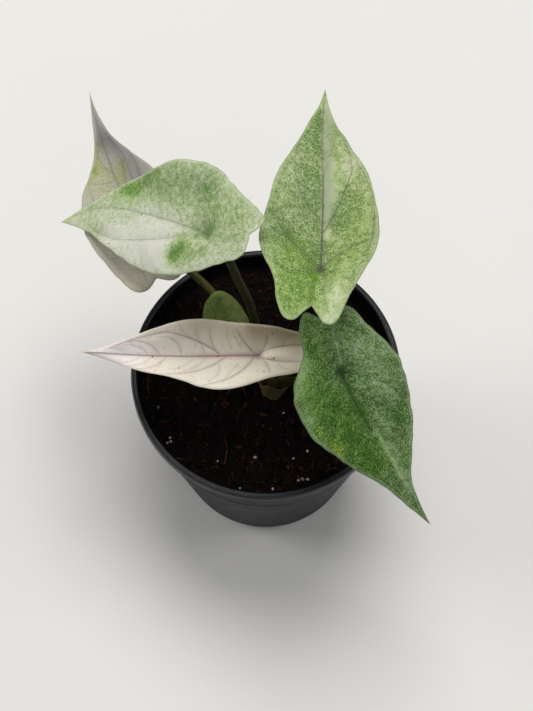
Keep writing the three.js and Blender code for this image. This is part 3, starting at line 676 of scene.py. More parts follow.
def node_group(name, outputs, tree_type="ShaderNodeTree", **inputs):
    """Turns a function over sockets into one that gives its node group, made on first use.

    Outputs and inputs are socket kinds by name. The function takes a bench and the input
    sockets, and gives what feeds the outputs.
    """
    def wrap(build):
        @wraps(build)
        def tree_of():
            if name in bpy.data.node_groups:
                return bpy.data.node_groups[name]
            tree = bpy.data.node_groups.new(name, tree_type)
            for side, sockets in (("INPUT", inputs), ("OUTPUT", outputs)):
                for label, kind in sockets.items():
                    tree.interface.new_socket(name=label.replace("_", " ").title(),
                                              in_out=side, socket_type="NodeSocket" + kind)
            bench = Bench(tree)
            given = bench.add("NodeGroupInput").outputs[:len(inputs)]
            result = bench.add("NodeGroupOutput")
            for socket, value in zip(result.inputs, build(bench, *given)):
                bench.feed(socket, value)
            return tree
        return tree_of
    return wrap


def geometry_group(name, **inputs):
    """Does the same for a Geometry Nodes tree that takes and gives one geometry."""
    return node_group(name, {"geometry": "Geometry"}, "GeometryNodeTree",
                      geometry="Geometry", **inputs, material="Material")


@node_group("Vein", {"line": "Float", "groove": "Float"}, place="Vector", start="Vector",
            end="Vector", bow="Float", width="Float", strength="Float")
def vein_group(bench, place, start, end, bow, width, strength):
    """One curved vein on the flat leaf: a thin line and the soft groove round it."""
    offset = bench.vector("SUBTRACT", place, start)
    chord = bench.vector("SUBTRACT", end, start)
    length = bench.vector("LENGTH", chord)
    along_axis = bench.vector("NORMALIZE", chord)
    side_axis = bench.vector("CROSS_PRODUCT", UP, along_axis)
    share = bench.math("DIVIDE", bench.vector("DOT_PRODUCT", offset, along_axis), length)
    across = bench.vector("DOT_PRODUCT", offset, side_axis)
    rest = bench.math("SUBTRACT", 1.0, share)
    rise = bench.times(bow, 4.0)
    bowed = bench.times(rise, bench.times(share, rest))
    turn = bench.math("DIVIDE", bench.times(rise, bench.math("SUBTRACT", rest, share)), length)
    lean = bench.math("SQRT", bench.scaled(turn, turn, 1.0))
    beside = bench.math("DIVIDE", bench.math("SUBTRACT", across, bowed), lean)
    over = bench.math("MAXIMUM", bench.times(share, -1.0), bench.math("SUBTRACT", share, 1.0))
    past = bench.times(bench.math("MAXIMUM", over, 0.0), length)
    reach = bench.math("SQRT", bench.scaled(beside, beside, bench.times(past, past)))
    half = bench.times(width, bench.ramp(share, 0.0, 1.0, 0.5, 0.22))
    line = bench.ramp(reach, bench.math("ADD", half, 0.28), bench.times(half, 0.3))
    groove = bench.ramp(reach, bench.scaled(half, 3.0, 1.5), 0.0)
    groove = bench.times(groove, bench.ramp(share, 1.05, 0.6))
    return bench.times(line, strength), bench.times(groove, strength)


@node_group("Marbling", {"green": "Float"}, place="Vector", density="Float", fleck="Float",
            seed="Float", contrast="Float", netted="Float")
def marbling_group(bench, place, density, fleck, seed, contrast, netted):
    """How green the flat leaf is at a point: fine flecks, small clouds and wide ones."""
    along, across, _ = bench.split(place)
    sheared = bench.scaled(bench.math("ABSOLUTE", across), -0.45, along)
    drawn = bench.combined(sheared, bench.times(across, 0.85), seed)
    scale = bench.math("DIVIDE", 1.05, fleck)
    fine = bench.spots(drawn, scale, 2.5, 0.65, Distortion=0.2)
    small = bench.spots(drawn, bench.times(scale, 0.4))
    wide = bench.spots(drawn, 0.12)
    flecks = bench.math("SUBTRACT", fine, 0.5)
    net = bench.ramp(bench.math("ABSOLUTE", flecks), 0.0, 0.05, -0.34, 0.1)
    value = bench.scaled(bench.math("SUBTRACT", net, flecks), netted, flecks)
    value = bench.scaled(bench.math("SUBTRACT", small, 0.5), 0.46, value)
    value = bench.scaled(bench.math("SUBTRACT", wide, 0.5), 0.18, value)
    return [bench.scaled(value, contrast, density)]


@node_group("Vein network", {"line": "Float"}, place="Vector", cell="Float")
def network_group(bench, place, cell):
    """The fine net of small veins, as thin lines between cells of two sizes."""
    drift = bench.named("ShaderNodeTexNoise", {
        "Vector": place, "Scale": 0.35, "Detail": 1.0}, output="Color")
    warped = bench.vector("MULTIPLY_ADD", drift, (2.4, 2.4, 0), place)
    lines = []
    for finer, weight in ((1.0, 1.0), (2.7, 0.5)):
        edge = bench.named("ShaderNodeTexVoronoi", {
            "Vector": warped, "Scale": bench.math("DIVIDE", finer, cell)},
            feature="DISTANCE_TO_EDGE", voronoi_dimensions="2D")
        lines.append(bench.times(bench.ramp(edge, 0.09, 0.0), weight))
    return [bench.math("MAXIMUM", *lines)]


@node_group("Streaks", {"streak": "Float", "speck": "Float"}, along="Float", around="Vector",
            fineness="Float")
def streak_group(bench, along, around, fineness):
    """Long soft streaks that run along a stalk, and fine specks between them."""
    flat = bench.vector("MULTIPLY", around, (1, 1, 0))

    def at(stretch):
        return bench.vector("ADD", flat,
                            bench.combined(0.0, 0.0, bench.times(along, stretch)))

    return (bench.spots(at(40.0), fineness, 3.0, 0.6), bench.spots(at(700.0), 3.0, 2.0, 0.6))


@node_group("Grain", {"cloud": "Float", "grit": "Float"}, scale="Float")
def grain_group(bench, scale):
    """Cloudy colour change and fine grit, for plastic, mix, bark and floor."""
    place = bench.add("ShaderNodeTexCoord").outputs["Object"]
    return (bench.spots(place, scale, 3.0, 0.6),
            bench.spots(place, bench.times(scale, 12.0), 2.0, 0.6))


# Objects

def new_mesh(name, points, faces, place=TO_METRES):
    """A smooth mesh from points and faces, put in place by a matrix."""
    mesh = bpy.data.meshes.new(name)
    mesh.from_pydata([tuple(point) for point in points], [],
                     [tuple(int(corner) for corner in face) for face in faces])
    mesh.transform(place)
    mesh.shade_smooth()
    return mesh


def store(mesh, name, values):
    """Keeps a number or a vector for each point of a mesh."""
    vectors = values.ndim == 2
    attribute = mesh.attributes.new(name, "FLOAT_VECTOR" if vectors else "FLOAT", "POINT")
    attribute.data.foreach_set("vector" if vectors else "value",
                               values.astype(np.float32).ravel())


def place_piece(name, mesh, node=None, material=None):
    """A finished piece in the scene, riding on the plant's one body."""
    piece = bpy.data.objects.new(name, mesh)
    bpy.context.scene.collection.objects.link(piece)
    if material is not None:
        mesh.materials.append(material)
    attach(piece, "root")
    if node is not None:
        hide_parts(node)


def grown(data, tree, name, **inputs):
    """The plain mesh that a Geometry Nodes tree makes of a mesh or a curve."""
    source = bpy.data.objects.new("source", data)
    bpy.context.scene.collection.objects.link(source)
    modifier = source.modifiers.new(tree.name, "NODES")
    modifier.node_group = tree
    for item in tree.interface.items_tree:
        label = item.name.replace(" ", "_").lower()
        if item.in_out == "INPUT" and label in inputs:
            modifier[item.identifier] = inputs[label]
    graph = bpy.context.evaluated_depsgraph_get()
    mesh = bpy.data.meshes.new_from_object(source.evaluated_get(graph), depsgraph=graph)
    mesh.name = name
    source.modifiers.remove(modifier)
    bpy.data.objects.remove(source)
    return mesh


def joined(name, parts):
    """One mesh of several, which are then removed."""
    whole = bmesh.new()
    for part in parts:
        whole.from_mesh(part)
        bpy.data.meshes.remove(part)
    mesh = bpy.data.meshes.new(name)
    whole.to_mesh(mesh)
    whole.free()
    return mesh


def angles(sides):
    """The steps round a circle."""
    return [2 * math.pi * step / sides for step in range(sides)]


def turned(profile, sides, place, scars=None):
    """A closed turned mesh about Z from radius and height in millimetres, lowest first."""
    inner = profile[1:-1]
    points = [(0, 0, profile[0][1])]
    for radius, height in inner:
        for angle in angles(sides):
            reach = radius + (scars(angle, height) if scars else 0)
            points.append((reach * math.cos(angle), reach * math.sin(angle), height))
    points.append((0, 0, profile[-1][1]))
    last = len(points) - 1
    top = last - sides
    faces = []
    for step in range(sides):
        after = (step + 1) % sides
        faces.append((0, 1 + after, 1 + step))
        for low in range(1, top, sides):
            high = low + sides
            faces.append((low + step, low + after, high + after, high + step))
        faces.append((top + step, top + after, last))
    return new_mesh("turned", points, faces, TO_METRES @ place)


def rounded(corners, steps=5):
    """A profile from corners of radius, height and the size of the soft arc there."""
    points = [Vector(corner[:2]) for corner in corners]
    result = [points[0]]
    for before, corner, after, (*_, size) in zip(points, points[1:], points[2:], corners[1:]):
        start = corner + (before - corner).normalized() * size
        end = corner + (after - corner).normalized() * size
        for step in range(steps + 1):
            share = step / steps
            result.append(start.lerp(corner, share).lerp(corner.lerp(end, share), share))
    return [*result, points[-1]]


# Flat leaf

def vein_bow(vein):
    """How far a vein bows to the left of its chord at the chord's middle."""
    start, through, end = (Vector(point) for point in vein[:3])
    chord = end - start
    axis = chord.normalized()
    offset = through - start
    share = offset.dot(axis) / chord.length
    beside = axis.x * offset.y - axis.y * offset.x
    return beside / (4 * share * (1 - share))


def vein_path(vein, steps=13):
    """Points along a vein."""
    start, end = Vector(vein[0]), Vector(vein[2])
    chord = end - start
    left = Vector((-chord.y, chord.x)).normalized()
    bow = vein_bow(vein)
    shares = [index / steps for index in range(steps + 1)]
    return [tuple(start + chord * share + left * (4 * bow * share * (1 - share)))
            for share in shares]


def distance_to_path(s, t, path):
    """Distance of each flat point to a path, and the share of the path beside it."""
    best = np.full(s.shape, np.inf)
    share = np.zeros(s.shape)
    count = len(path) - 1
    for index in range(count):
        start, end = np.array(path[index]), np.array(path[index + 1])
        chord = end - start
        offset_s, offset_t = s - start[0], t - start[1]
        along = np.clip((offset_s * chord[0] + offset_t * chord[1]) / (chord @ chord), 0, 1)
        gap = np.hypot(offset_s - along * chord[0], offset_t - along * chord[1])
        nearer = gap < best
        best = np.where(nearer, gap, best)
        share = np.where(nearer, (index + along) / count, share)
    return best, share


def vein_relief(leaf, s, t):
    """Depth of the vein valleys on top and height of the keels below, both 0 to 1."""
    flat = np.ones(s.shape)
    keel = np.zeros(s.shape)
    for index, vein in enumerate(leaf["veins"]):
        gap, share = distance_to_path(s, t, vein_path(vein))
        midrib = index == 0
        valley_width, rib_width = (3.0, 1.2) if midrib else (2.2, 0.8)
        depth, height = (0.9, 1.0) if midrib else (0.35 + 0.4 * vein[4], 0.4 * vein[4])
        flat *= 1 - depth * smooth(share, 1.1, 0.2) * np.exp(-(gap / valley_width) ** 2)
        keel = np.maximum(keel, height * (1 - share) * np.exp(-(gap / rib_width) ** 2))
    return 1 - flat, keel


def half_section(leaf, distance, steps=8):
    """How far half a leaf reaches out and up at a distance from its midrib."""
    out, up = np.zeros(distance.shape), np.zeros(distance.shape)
    for index in range(steps):
        along = distance * (index + 0.5) / steps
        bend = np.radians(leaf["fold"] * (1 - np.exp(-along / FOLD_WIDTH))
                          + leaf["curl"] * along / 10)
        out += np.cos(bend) * distance / steps
        up += np.sin(bend) * distance / steps
    return out, up


def bent_blade(leaf, s, t, lift):
    """The blade's upper face in millimetres, with lift added square to the sheet."""
    bend = np.where(s > 0, leaf["arch"], leaf["lobe_arch"]) / 1000
    turn = bend * s
    out, up = half_section(leaf, np.abs(t))
    dimple = DIMPLE_DEPTH * np.exp(-(s * s + t * t) / DIMPLE_RADIUS ** 2)
    phase = s / WAVE_LENGTH + np.where(t > 0, 0, 2)
    wave = leaf["wave"] * (t / WAVE_REACH) ** 2 * np.sin(phase)
    rise = up + wave - dimple + lift
    return np.stack([
        np.sin(turn) / bend + rise * np.sin(turn),
        leaf["sweep"] / 1000 * np.maximum(s, 0) ** 2 + np.sign(t) * out,
        (np.cos(turn) - 1) / bend + rise * np.cos(turn),
    ], axis=1)


def curve_points(start, end, out, back, count):
    """Points from start up to end on a curve that leaves along out and comes in along back."""
    shares = [index / count for index in range(count)]
    return [start + out * share + (3 * (end - start) - 2 * out - back) * share ** 2
            + (2 * (start - end) + out + back) * share ** 3 for share in shares]


def even_points(line, steps):
    """Points spread evenly over a line of many points, both ends included."""
    line = np.array([tuple(point) for point in line])
    travelled = np.concatenate([[0], np.cumsum(np.linalg.norm(np.diff(line, axis=0), axis=1))])
    at = np.linspace(0, travelled[-1], steps + 1)
    return np.stack([np.interp(at, travelled, axis) for axis in line.T], axis=1)


def outline_side(leaf, side, steps):
    """Evenly spaced points from the notch round one side to the tip, both included."""
    points = [Vector(point) for point in (leaf["notch"], *leaf[side], leaf["tip"])]
    points = [points[0], *points, points[-1]]
    fine = []
    for before, start, end, after in zip(points, points[1:], points[2:], points[3:]):
        fine += curve_points(start, end, (end - before) / 2, (after - start) / 2, 24)
    return even_points([*fine, points[-1]], steps)


def soft_sum(base, strokes, s, t):
    """A value over the flat leaf: its base and the soft strokes on it."""
    value = np.full(s.shape, float(base))
    for start, end, reach, amount in strokes:
        gap, _ = distance_to_path(s, t, [start, end])
        value += amount * np.exp(-(gap / reach) ** 2)
    return value


def leaf_tint_and_painted_light(leaf, s, t):
    """Each flat point's share of red, green and blue: own colour, painted shade and painted
    light.
    """
    tint = np.ones((len(s), 3))
    for *stroke, shares in leaf["tints_and_painted_light"]:
        weight = soft_sum(0, [(*stroke, 1)], s, t)[:, None]
        tint *= 1 + weight * (np.array(shares) - 1)
    return tint


def bumps(points, spacing, seed):
    """Smooth noise at flat points, its bumps about the spacing apart."""
    return np.array([noise.noise(Vector((x / spacing, y / spacing, seed))) for x, y in points])


def flat_sheet(leaf, sizes):
    """The leaf's uneven outline, and its flat points in rings from the stalk outwards."""
    right = outline_side(leaf, "right", sizes.steps)
    left = outline_side(leaf, "left", sizes.steps)
    outline = np.concatenate([right, left[1:-1][::-1]])
    uneven = leaf["ripple"] * bumps(outline, RIPPLE_SPACING, 80 + leaf["heading"])
    outline *= 1 + (uneven / np.linalg.norm(outline, axis=1))[:, None]
    shares = np.linspace(0, 1, sizes.rings + 1)[1:]
    shares = np.concatenate([shares[:-1], [1 - 0.45 / sizes.rings, 1]])
    return outline, np.concatenate([np.zeros((1, 2))] + [outline * share for share in shares])


def sheet_lift(leaf, flat, margin, valley):
    """How far the upper face stands off the smooth sheet, in millimetres."""
    s, t = flat.T
    frill = bumps(flat, FRILL_SPACING, leaf["heading"])
    swell = bumps(flat, SWELL_SPACING, 40 + leaf["heading"])
    cushion = leaf["cushion"] * smooth(-s, 1, 4) * np.exp(s / 14) * np.exp(-(t / 2.3) ** 4)
    return (-valley + cushion
            + 0.6 * swell * smooth(margin, 0, 4)
            + 0.7 * frill * np.exp(-margin / 5)
            - leaf["recurve"] * np.exp(-margin / 1.1))


def point_normals(points, quads):
    """The average normal at each point of a sheet of four-sided faces."""
    corners = points[quads]
    faces = np.cross(corners[:, 2] - corners[:, 0], corners[:, 3] - corners[:, 1])
    normals = np.zeros(points.shape)
    for corner in range(4):
        np.add.at(normals, quads[:, corner], faces)
    return normals / np.maximum(np.linalg.norm(normals, axis=1, keepdims=True), 1e-12)


def leaf_matrix(leaf):
    """From a leaf's own frame in millimetres to the model's frame in metres."""
    turn = (Matrix.Rotation(math.radians(leaf["heading"]), 4, "Z")
            @ Matrix.Rotation(math.radians(-leaf["pitch"]), 4, "Y")
            @ Matrix.Rotation(math.radians(leaf["roll"]), 4, "X"))
    return TO_METRES @ Matrix.Translation(Vector(leaf["seat"])) @ turn


def blade_mesh(name, leaf, sizes):
    """A blade as a closed sheet: rings from the stalk to the margin on both faces."""
    outline, flat = flat_sheet(leaf, sizes)
    s, t = flat.T
    margin, _ = distance_to_path(s, t, [*outline, outline[0]])
    valley, keel = vein_relief(leaf, s, t)
    lift = sheet_lift(leaf, flat, margin, sizes.valley / MM * valley)
    upper = bent_blade(leaf, s, t, lift)

    count, around = len(flat), len(outline)
    ring = np.arange(around)
    following = (ring + 1) % around
    quads = np.concatenate([
        np.stack([near + ring, near + around + ring, near + around + following,
                  near + following], axis=1)
        for near in range(1, count - around, around)])
    normals = point_normals(upper, quads)
    normals[0] = normals[1:around + 1].mean(axis=0)
    thickness = sizes.thickness / MM * (0.6 + 0.4 * smooth(margin, 0, 2.5))
    under = upper - normals * (thickness + sizes.keel / MM * keel)[:, None]

    rim = count - around + ring
    inward = upper[rim - around] - upper[rim]
    inward /= np.linalg.norm(inward, axis=1, keepdims=True)
    edge = (upper[rim] + under[rim]) / 2 - inward * BLADE_EDGE

    faces = [(0, 1 + a, 1 + b) for a, b in zip(ring, following)] + [*quads]
    faces += [tuple(index + count for index in reversed(face)) for face in faces]
    rim_lower, middle = rim + count, 2 * count + ring
    for a, b in zip(ring, following):
        faces.append((rim[a], middle[a], middle[b], rim[b]))
        faces.append((middle[a], rim_lower[a], rim_lower[b], middle[b]))
    mesh = new_mesh(name, np.concatenate([upper, under, edge]), faces, leaf_matrix(leaf))

    kept = {"leaf_place": np.stack([s, t, np.zeros(count)], axis=1), "margin": margin,
            "green": soft_sum(leaf["density"], leaf["patches"], s, t),
            "warm": soft_sum(0, leaf["warmth"], s, t), "tint": leaf_tint_and_painted_light(leaf, s, t)}
    for label, values in kept.items():
        store(mesh, label, np.concatenate([values, values, values[rim]]))
    store(mesh, "upper", np.repeat([1, 0, 0.5], [count, count, around]))
    return mesh


def blade_material(name, leaf):
    """Marbled skin of one leaf with its own veins, rim, tip and spots, and painted shade and
    light.
    """
    bench = Skin("Blade " + name)
    place = bench.attribute("leaf_place", "Vector")
    green, warm, margin, upper = map(bench.attribute, ("green", "warm", "margin", "upper"))
    marble, = bench.group(marbling_group(), place=place, density=green, fleck=leaf["fleck"],
                          seed=leaf["heading"] / 10, contrast=leaf["contrast"],
                          netted=leaf["netted"])
    pale, fresh, deep = (paint(*leaf[tone]) for tone in ("pale", "fresh", "deep"))
    tones = bench.add("ShaderNodeValToRGB", marble)
    stops = tones.color_ramp.elements
    stops[0].position, stops[0].color = 0.22, pale
    stops[1].position, stops[1].color = 0.95, deep
    stops.new(0.58).color = fresh
    # Each channel is scaled by the leaf's own colour strokes and by its painted shade and painted
    # light.
    colour = bench.filtered(tones.outputs[0], bench.attribute("tint", "Color"))
    warm_share = bench.times(bench.math("MAXIMUM", warm, 0.0), bench.ramp(marble, 0.1, 0.5))
    colour = bench.mix(warm_share, colour, bench.filtered(colour, (1.04, 1.06, 0.6, 1)))

    # The groove masks darken the colour as painted shade in the vein valleys, and sink the bump.
    lines, groove_shade_and_depth = 0.0, 0.0
    for vein in leaf["veins"]:
        start, _, end, width, strength = vein
        line, groove = bench.group(vein_group(), place=place, start=(*start, 0),
                                   end=(*end, 0), bow=vein_bow(vein), width=width,
                                   strength=strength)
        lines = bench.math("MAXIMUM", lines, line)
        groove_shade_and_depth = bench.math("MAXIMUM", groove_shade_and_depth, groove)
    net, = bench.group(network_group(), place=place, cell=5.0)

    ink, brown = paint(*leaf["vein_colour"]), paint(96, 62, 46)
    # The colour of the painted shade in the recess at the seat, deeper than the veins.
    hollow = bench.filtered(ink, (0.6, 0.62, 0.5, 1))
    along, tip = bench.split(place)[0], leaf["tip"][0]
    dots = [(bench.ramp(bench.vector("DISTANCE", place, (*spot, 0)), radius * 1.5,
                        radius * 0.5, 0.0, 0.85), brown) for spot, radius in leaf["spots"]]
    colour = bench.coats(
        colour,
        (bench.times(net, leaf["net"]), ink),
        (bench.times(groove_shade_and_depth, 0.28), ink),
        (bench.times(lines, 0.8), ink),
        (bench.ramp(bench.vector("LENGTH", place), 3.2, 0.5, 0.0, leaf["hollow"]), hollow),
        *dots,
        (bench.ramp(margin, 1.8, 0.7, 0.0, 0.3), pale),
        (bench.ramp(margin, 0.7, 0.1, 0.0, 0.6), fresh),
        (bench.ramp(along, tip - 7, tip, 0.0, 0.9), paint(*leaf["tip_colour"])))
    under = bench.mix(0.45, colour, paint(176, 188, 150))

    rough = bench.scaled(lines, 0.1, bench.ramp(marble, 0.2, 0.9, 0.6, 0.52))
    height = bench.times(groove_shade_and_depth, -1.0)
    for value, share in ((lines, -0.8), (net, -0.2), (marble, 0.25)):
        height = bench.scaled(value, share, height)
    return bench.finish(bench.mix(upper, under, colour), rough, 0.22, (height, 0.6, 0.00025))


# Pot

# A small turn keeps the corners of the drilled holes off the lines between the sides.
POT_TURN = Matrix.Rotation(math.radians(0.6), 4, "Z")


@geometry_group("Drainage holes", count="Int", circle="Float", hole_radius="Float",
                depth="Float")
def drill_tree(bench, geometry, count, circle, radius, depth, material):
    """Cuts round drainage holes on a circle through the floor of the pot."""
    half_step = bench.math("DIVIDE", math.pi, count)
    ring = bench.shape("Transform", rotation=bench.combined(0.0, 0.0, half_step),
                       geometry=bench.shape("MeshCircle", vertices=count, radius=circle))
    drill = bench.shape("MeshCylinder", vertices=32, radius=radius, depth=depth)
    drills = bench.shape("InstanceOnPoints", points=ring, instance=drill)
    real = bench.shape("RealizeInstances", geometry=drills)
    cut = bench.named("GeometryNodeMeshBoolean", {"Mesh 1": geometry, "Mesh 2": real},
                      operation="DIFFERENCE", solver="EXACT")
    return [bench.shape("SetMaterial", geometry=cut, material=material)]


def pot_material(sizes):
    """Black moulded plastic, dusty near the foot and polished along the lip."""
    bench = Skin("Nursery pot plastic")
    cloud, grit = bench.group(grain_group(), scale=45.0)
    height = bench.split(bench.add("ShaderNodeTexCoord").outputs["Object"])[2]
    dust = bench.times(bench.ramp(cloud, 0.45, 0.8), bench.ramp(height, 0.05, 0.0))
    dust = bench.scaled(bench.ramp(grit, 0.6, 0.85), 0.06, dust)
    colour = bench.mix(bench.times(dust, 0.18), opaque(sizes.plastic), paint(92, 84, 76))
    rough = bench.scaled(cloud, 0.22, bench.ramp(height, 0.09, 0.1, 0.36, 0.26))
    shine = bench.ramp(height, 0.0955, 0.0985, 0.12, 0.3)
    return bench.finish(colour, rough, shine, (bench.scaled(cloud, 2.0, grit), 0.25, 0.0001))


def pot_profile(sizes):
    """Corners of the pot's section, from the underside out, over the lip and in again."""
    lip, top = sizes.lip_radius / MM, sizes.height / MM
    foot, wall = sizes.foot_radius / MM, sizes.wall / MM
    inner, shoulder = lip - LIP_ROLL, top - LIP_DEPTH
    hollow, edge, band, proud = 0.5, 1.2, 72, 0.25
    slope = (inner + wall - foot) / (shoulder - edge)
    return [
        (0, hollow, 0), (26, hollow, 0.3), (28, 0, 0.3), (foot - edge, 0, 0.5),
        (foot, edge, 0.9), (foot + slope * (band - edge), band, 0.4),
        (foot + slope * (band - 0.6) + proud, band + 0.6, 0.3),
        (foot + slope * (band + 1) + proud, band + 2.2, 0.3),
        (foot + slope * (band + 1.6), band + 2.8, 0.4), (inner + wall, shoulder - 0.4, 0.6),
        (lip - 0.1, shoulder + 0.6, 0.35), (lip, top - 1.4, 0.9), (lip - 0.7, top, 0.38),
        (lip - 1.5, top - 0.45, 0.35), (inner + 0.9, top - 0.1, 0.4), (inner, top - 1, 0.5),
        (inner, shoulder, 2.0), (foot - wall + 0.2, FLOOR_TOP + 0.4, 0.6),
        (foot - wall - 1.2, FLOOR_TOP, 0.4), (0, FLOOR_TOP, 0),
    ]


class AROID_OT_pot(bpy.types.Operator):
    """Build the turned nursery pot with its rolled lip and drainage holes"""

    bl_idname = "aroid.pot"
    bl_label = "Pot"

    def execute(self, context):
        sizes = context.scene.aroid_pot
        raw = turned(rounded(pot_profile(sizes)), sizes.sides, POT_TURN)
        mesh = grown(raw, drill_tree(), "pot_body", count=8, circle=0.031,
                     hole_radius=0.0035, depth=0.0072, material=pot_material(sizes))
        mesh.shade_smooth()
        mesh.set_sharp_from_angle(angle=math.radians(42))
        place_piece("pot_body", mesh, "pot")
        return {"FINISHED"}


# Potting mix

def mix_height(x, y, share=0.5):
    """Height of the mix in millimetres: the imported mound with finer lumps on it.

    The share of the way to the wall says how far the mound and its crumbs level out.
    """
    from_crown = math.hypot(x - CROWN.x, y - CROWN.y) / SOIL_MOUND_SPREAD
    mound = SOIL_MOUND * math.exp(-from_crown ** 2)
    crumbs = (0.6 * math.sin(x / 2.3 + math.sin(y / 3.7)) * math.cos(y / 2.9 + x / 7.1)
              + 0.4 * math.sin((x - y) / 5.3))
    lumps = 1.5 * noise.fractal(Vector((x / 4.2, y / 4.2, 2)), 0.7, 2.1, 4)
    return SOIL_LEVEL + (mound + 0.6 * crumbs) * (1 - share ** 6) + lumps


def on_mix(x, y):
    """A place just over the surface of the mix."""
    return Vector((x, y, mix_height(x, y) + GRAIN_LIFT))


def mix_mesh(wall_at, rings=84, sides=180):
    """The mix as one closed body from its lumpy top down inside the wall to the floor."""
    top_radius = wall_at(SOIL_LEVEL) - 0.1
    floor = FLOOR_TOP + 0.3
    points = [(0, 0, mix_height(0, 0, 0))]
    for ring in range(1, rings + 1):
        share = ring / rings
        for angle in angles(sides):
            x, y = top_radius * share * math.cos(angle), top_radius * share * math.sin(angle)
            points.append((x, y, mix_height(x, y, share)))
    for height in (80, 60, 40, 20, floor):
        reach = wall_at(height) - 0.3
        points += [(reach * math.cos(angle), reach * math.sin(angle), height)
                   for angle in angles(sides)]
    points.append((0, 0, floor))
    last = len(points) - 1
    foot = last - sides
    faces = []
    for step in range(sides):
        after = (step + 1) % sides
        faces.append((0, 1 + step, 1 + after))
        for near in range(1, foot, sides):
            far = near + sides
            faces.append((near + step, far + step, far + after, near + after))
        faces.append((foot + step, last, foot + after))
    return new_mesh("soil_body", points, faces)


def scatter_points(bench, geometry, density, seed):
    """Points on the open surface of the mix, clear of the crown and of the wall."""
    x, y, z = bench.split(bench.shape("InputPosition"))
    flat = bench.combined(x, y, 0.0)
    from_crown = bench.vector("DISTANCE", flat, (CROWN.x * MM, CROWN.y * MM, 0))
    chosen = bench.times(
        bench.times(bench.math("GREATER_THAN", from_crown, CLEAR_OF_CROWN),
                    bench.math("LESS_THAN", bench.vector("LENGTH", flat), CLEAR_OF_WALL)),
        bench.math("GREATER_THAN", z, TOP_OF_MIX))
    return bench.shape("DistributePointsOnFaces", mesh=geometry, selection=chosen,
                       density=density, seed=seed)


def strew(bench, points, form, turn, size, noise_scale, detail, nudge):
    """Real copies of a form on points, whose own points are then nudged by noise."""
    copies = bench.shape("InstanceOnPoints", points=points, instance=form, rotation=turn,
                         scale=size)
    real = bench.shape("RealizeInstances", geometry=copies)
    drift = bench.named("ShaderNodeTexNoise", {"Scale": noise_scale, "Detail": detail},
                        output="Color")
    shift = bench.vector("MULTIPLY", bench.vector("SUBTRACT", drift, (0.5, 0.5, 0.5)), nudge)
    return bench.shape("SetPosition", geometry=real, offset=shift)


@geometry_group("Strewn grains", density="Float", seed="Int", smallest="Float",
                largest="Float", stretch="Vector", roughness="Float", on_points="Bool")
def grains_tree(bench, geometry, density, seed, smallest, largest, stretch, roughness,
                on_points, material):
    """Strews rough grains over the mix or on a mesh's points, turned and sized at random."""
    points = bench.named("GeometryNodeSwitch", {
        "Switch": on_points, "False": scatter_points(bench, geometry, density, seed),
        "True": bench.shape("MeshToPoints", mesh=geometry)}, input_type="GEOMETRY")
    body = bench.shape("MeshIcoSphere", radius=1.0, subdivisions=1)
    turn = bench.chance("FLOAT_VECTOR", (0, 0, 0), (FULL_TURN, FULL_TURN, FULL_TURN), seed)
    size = bench.vector("MULTIPLY", stretch, bench.chance("FLOAT", smallest, largest, seed))
    rough = strew(bench, points, body, turn, size, 900.0, 2.0, roughness)
    return [bench.shape("SetMaterial", geometry=rough, material=material)]


@geometry_group("Strewn fibres", density="Float", seed="Int", length="Float", radius="Float")
def fibres_tree(bench, geometry, density, seed, length, radius, material):
    """Strews short bent fibres over the mix."""
    half, bend = bench.times(length, 0.5), bench.times(length, 0.35)
    arc = bench.shape("CurveQuadraticBezier", resolution=5,
                      start=bench.combined(bench.times(half, -1.0), 0.0, 0.0),
                      middle=bench.combined(0.0, bend, bend),
                      end=bench.combined(half, 0.0, 0.0))
    turn = bench.chance("FLOAT_VECTOR", (-0.5, -0.4, 0), (0.5, 0.4, FULL_TURN), seed)
    bent = strew(bench, scatter_points(bench, geometry, density, seed), arc, turn,
                 bench.chance("FLOAT", 0.4, 1.5, seed), 240.0, 1.0, (0.003, 0.003, 0.0015))
    section = bench.shape("CurvePrimitiveCircle", resolution=4, radius=radius)
    skin = bench.shape("CurveToMesh", curve=bent, profile_curve=section, fill_caps=True)
    return [bench.shape("SetMaterial", geometry=skin, material=material)]


def earth_material(name, first, second, scale, roughness):
    """Crumbly matter between two colours."""
    bench = Skin(name)
    cloud, grit = bench.group(grain_group(), scale=scale)
    colour = bench.mix(bench.ramp(cloud, 0.35, 0.7), opaque(first), opaque(second))
    darker = bench.filtered(colour, (0.45, 0.4, 0.38, 1))
    colour = bench.mix(bench.ramp(grit, 0.4, 0.62), darker, colour)
    rough = bench.ramp(grit, 0.2, 0.8, roughness, roughness - 0.25)
    return bench.finish(colour, rough, 0.06, (grit, 0.8, 0.0004))


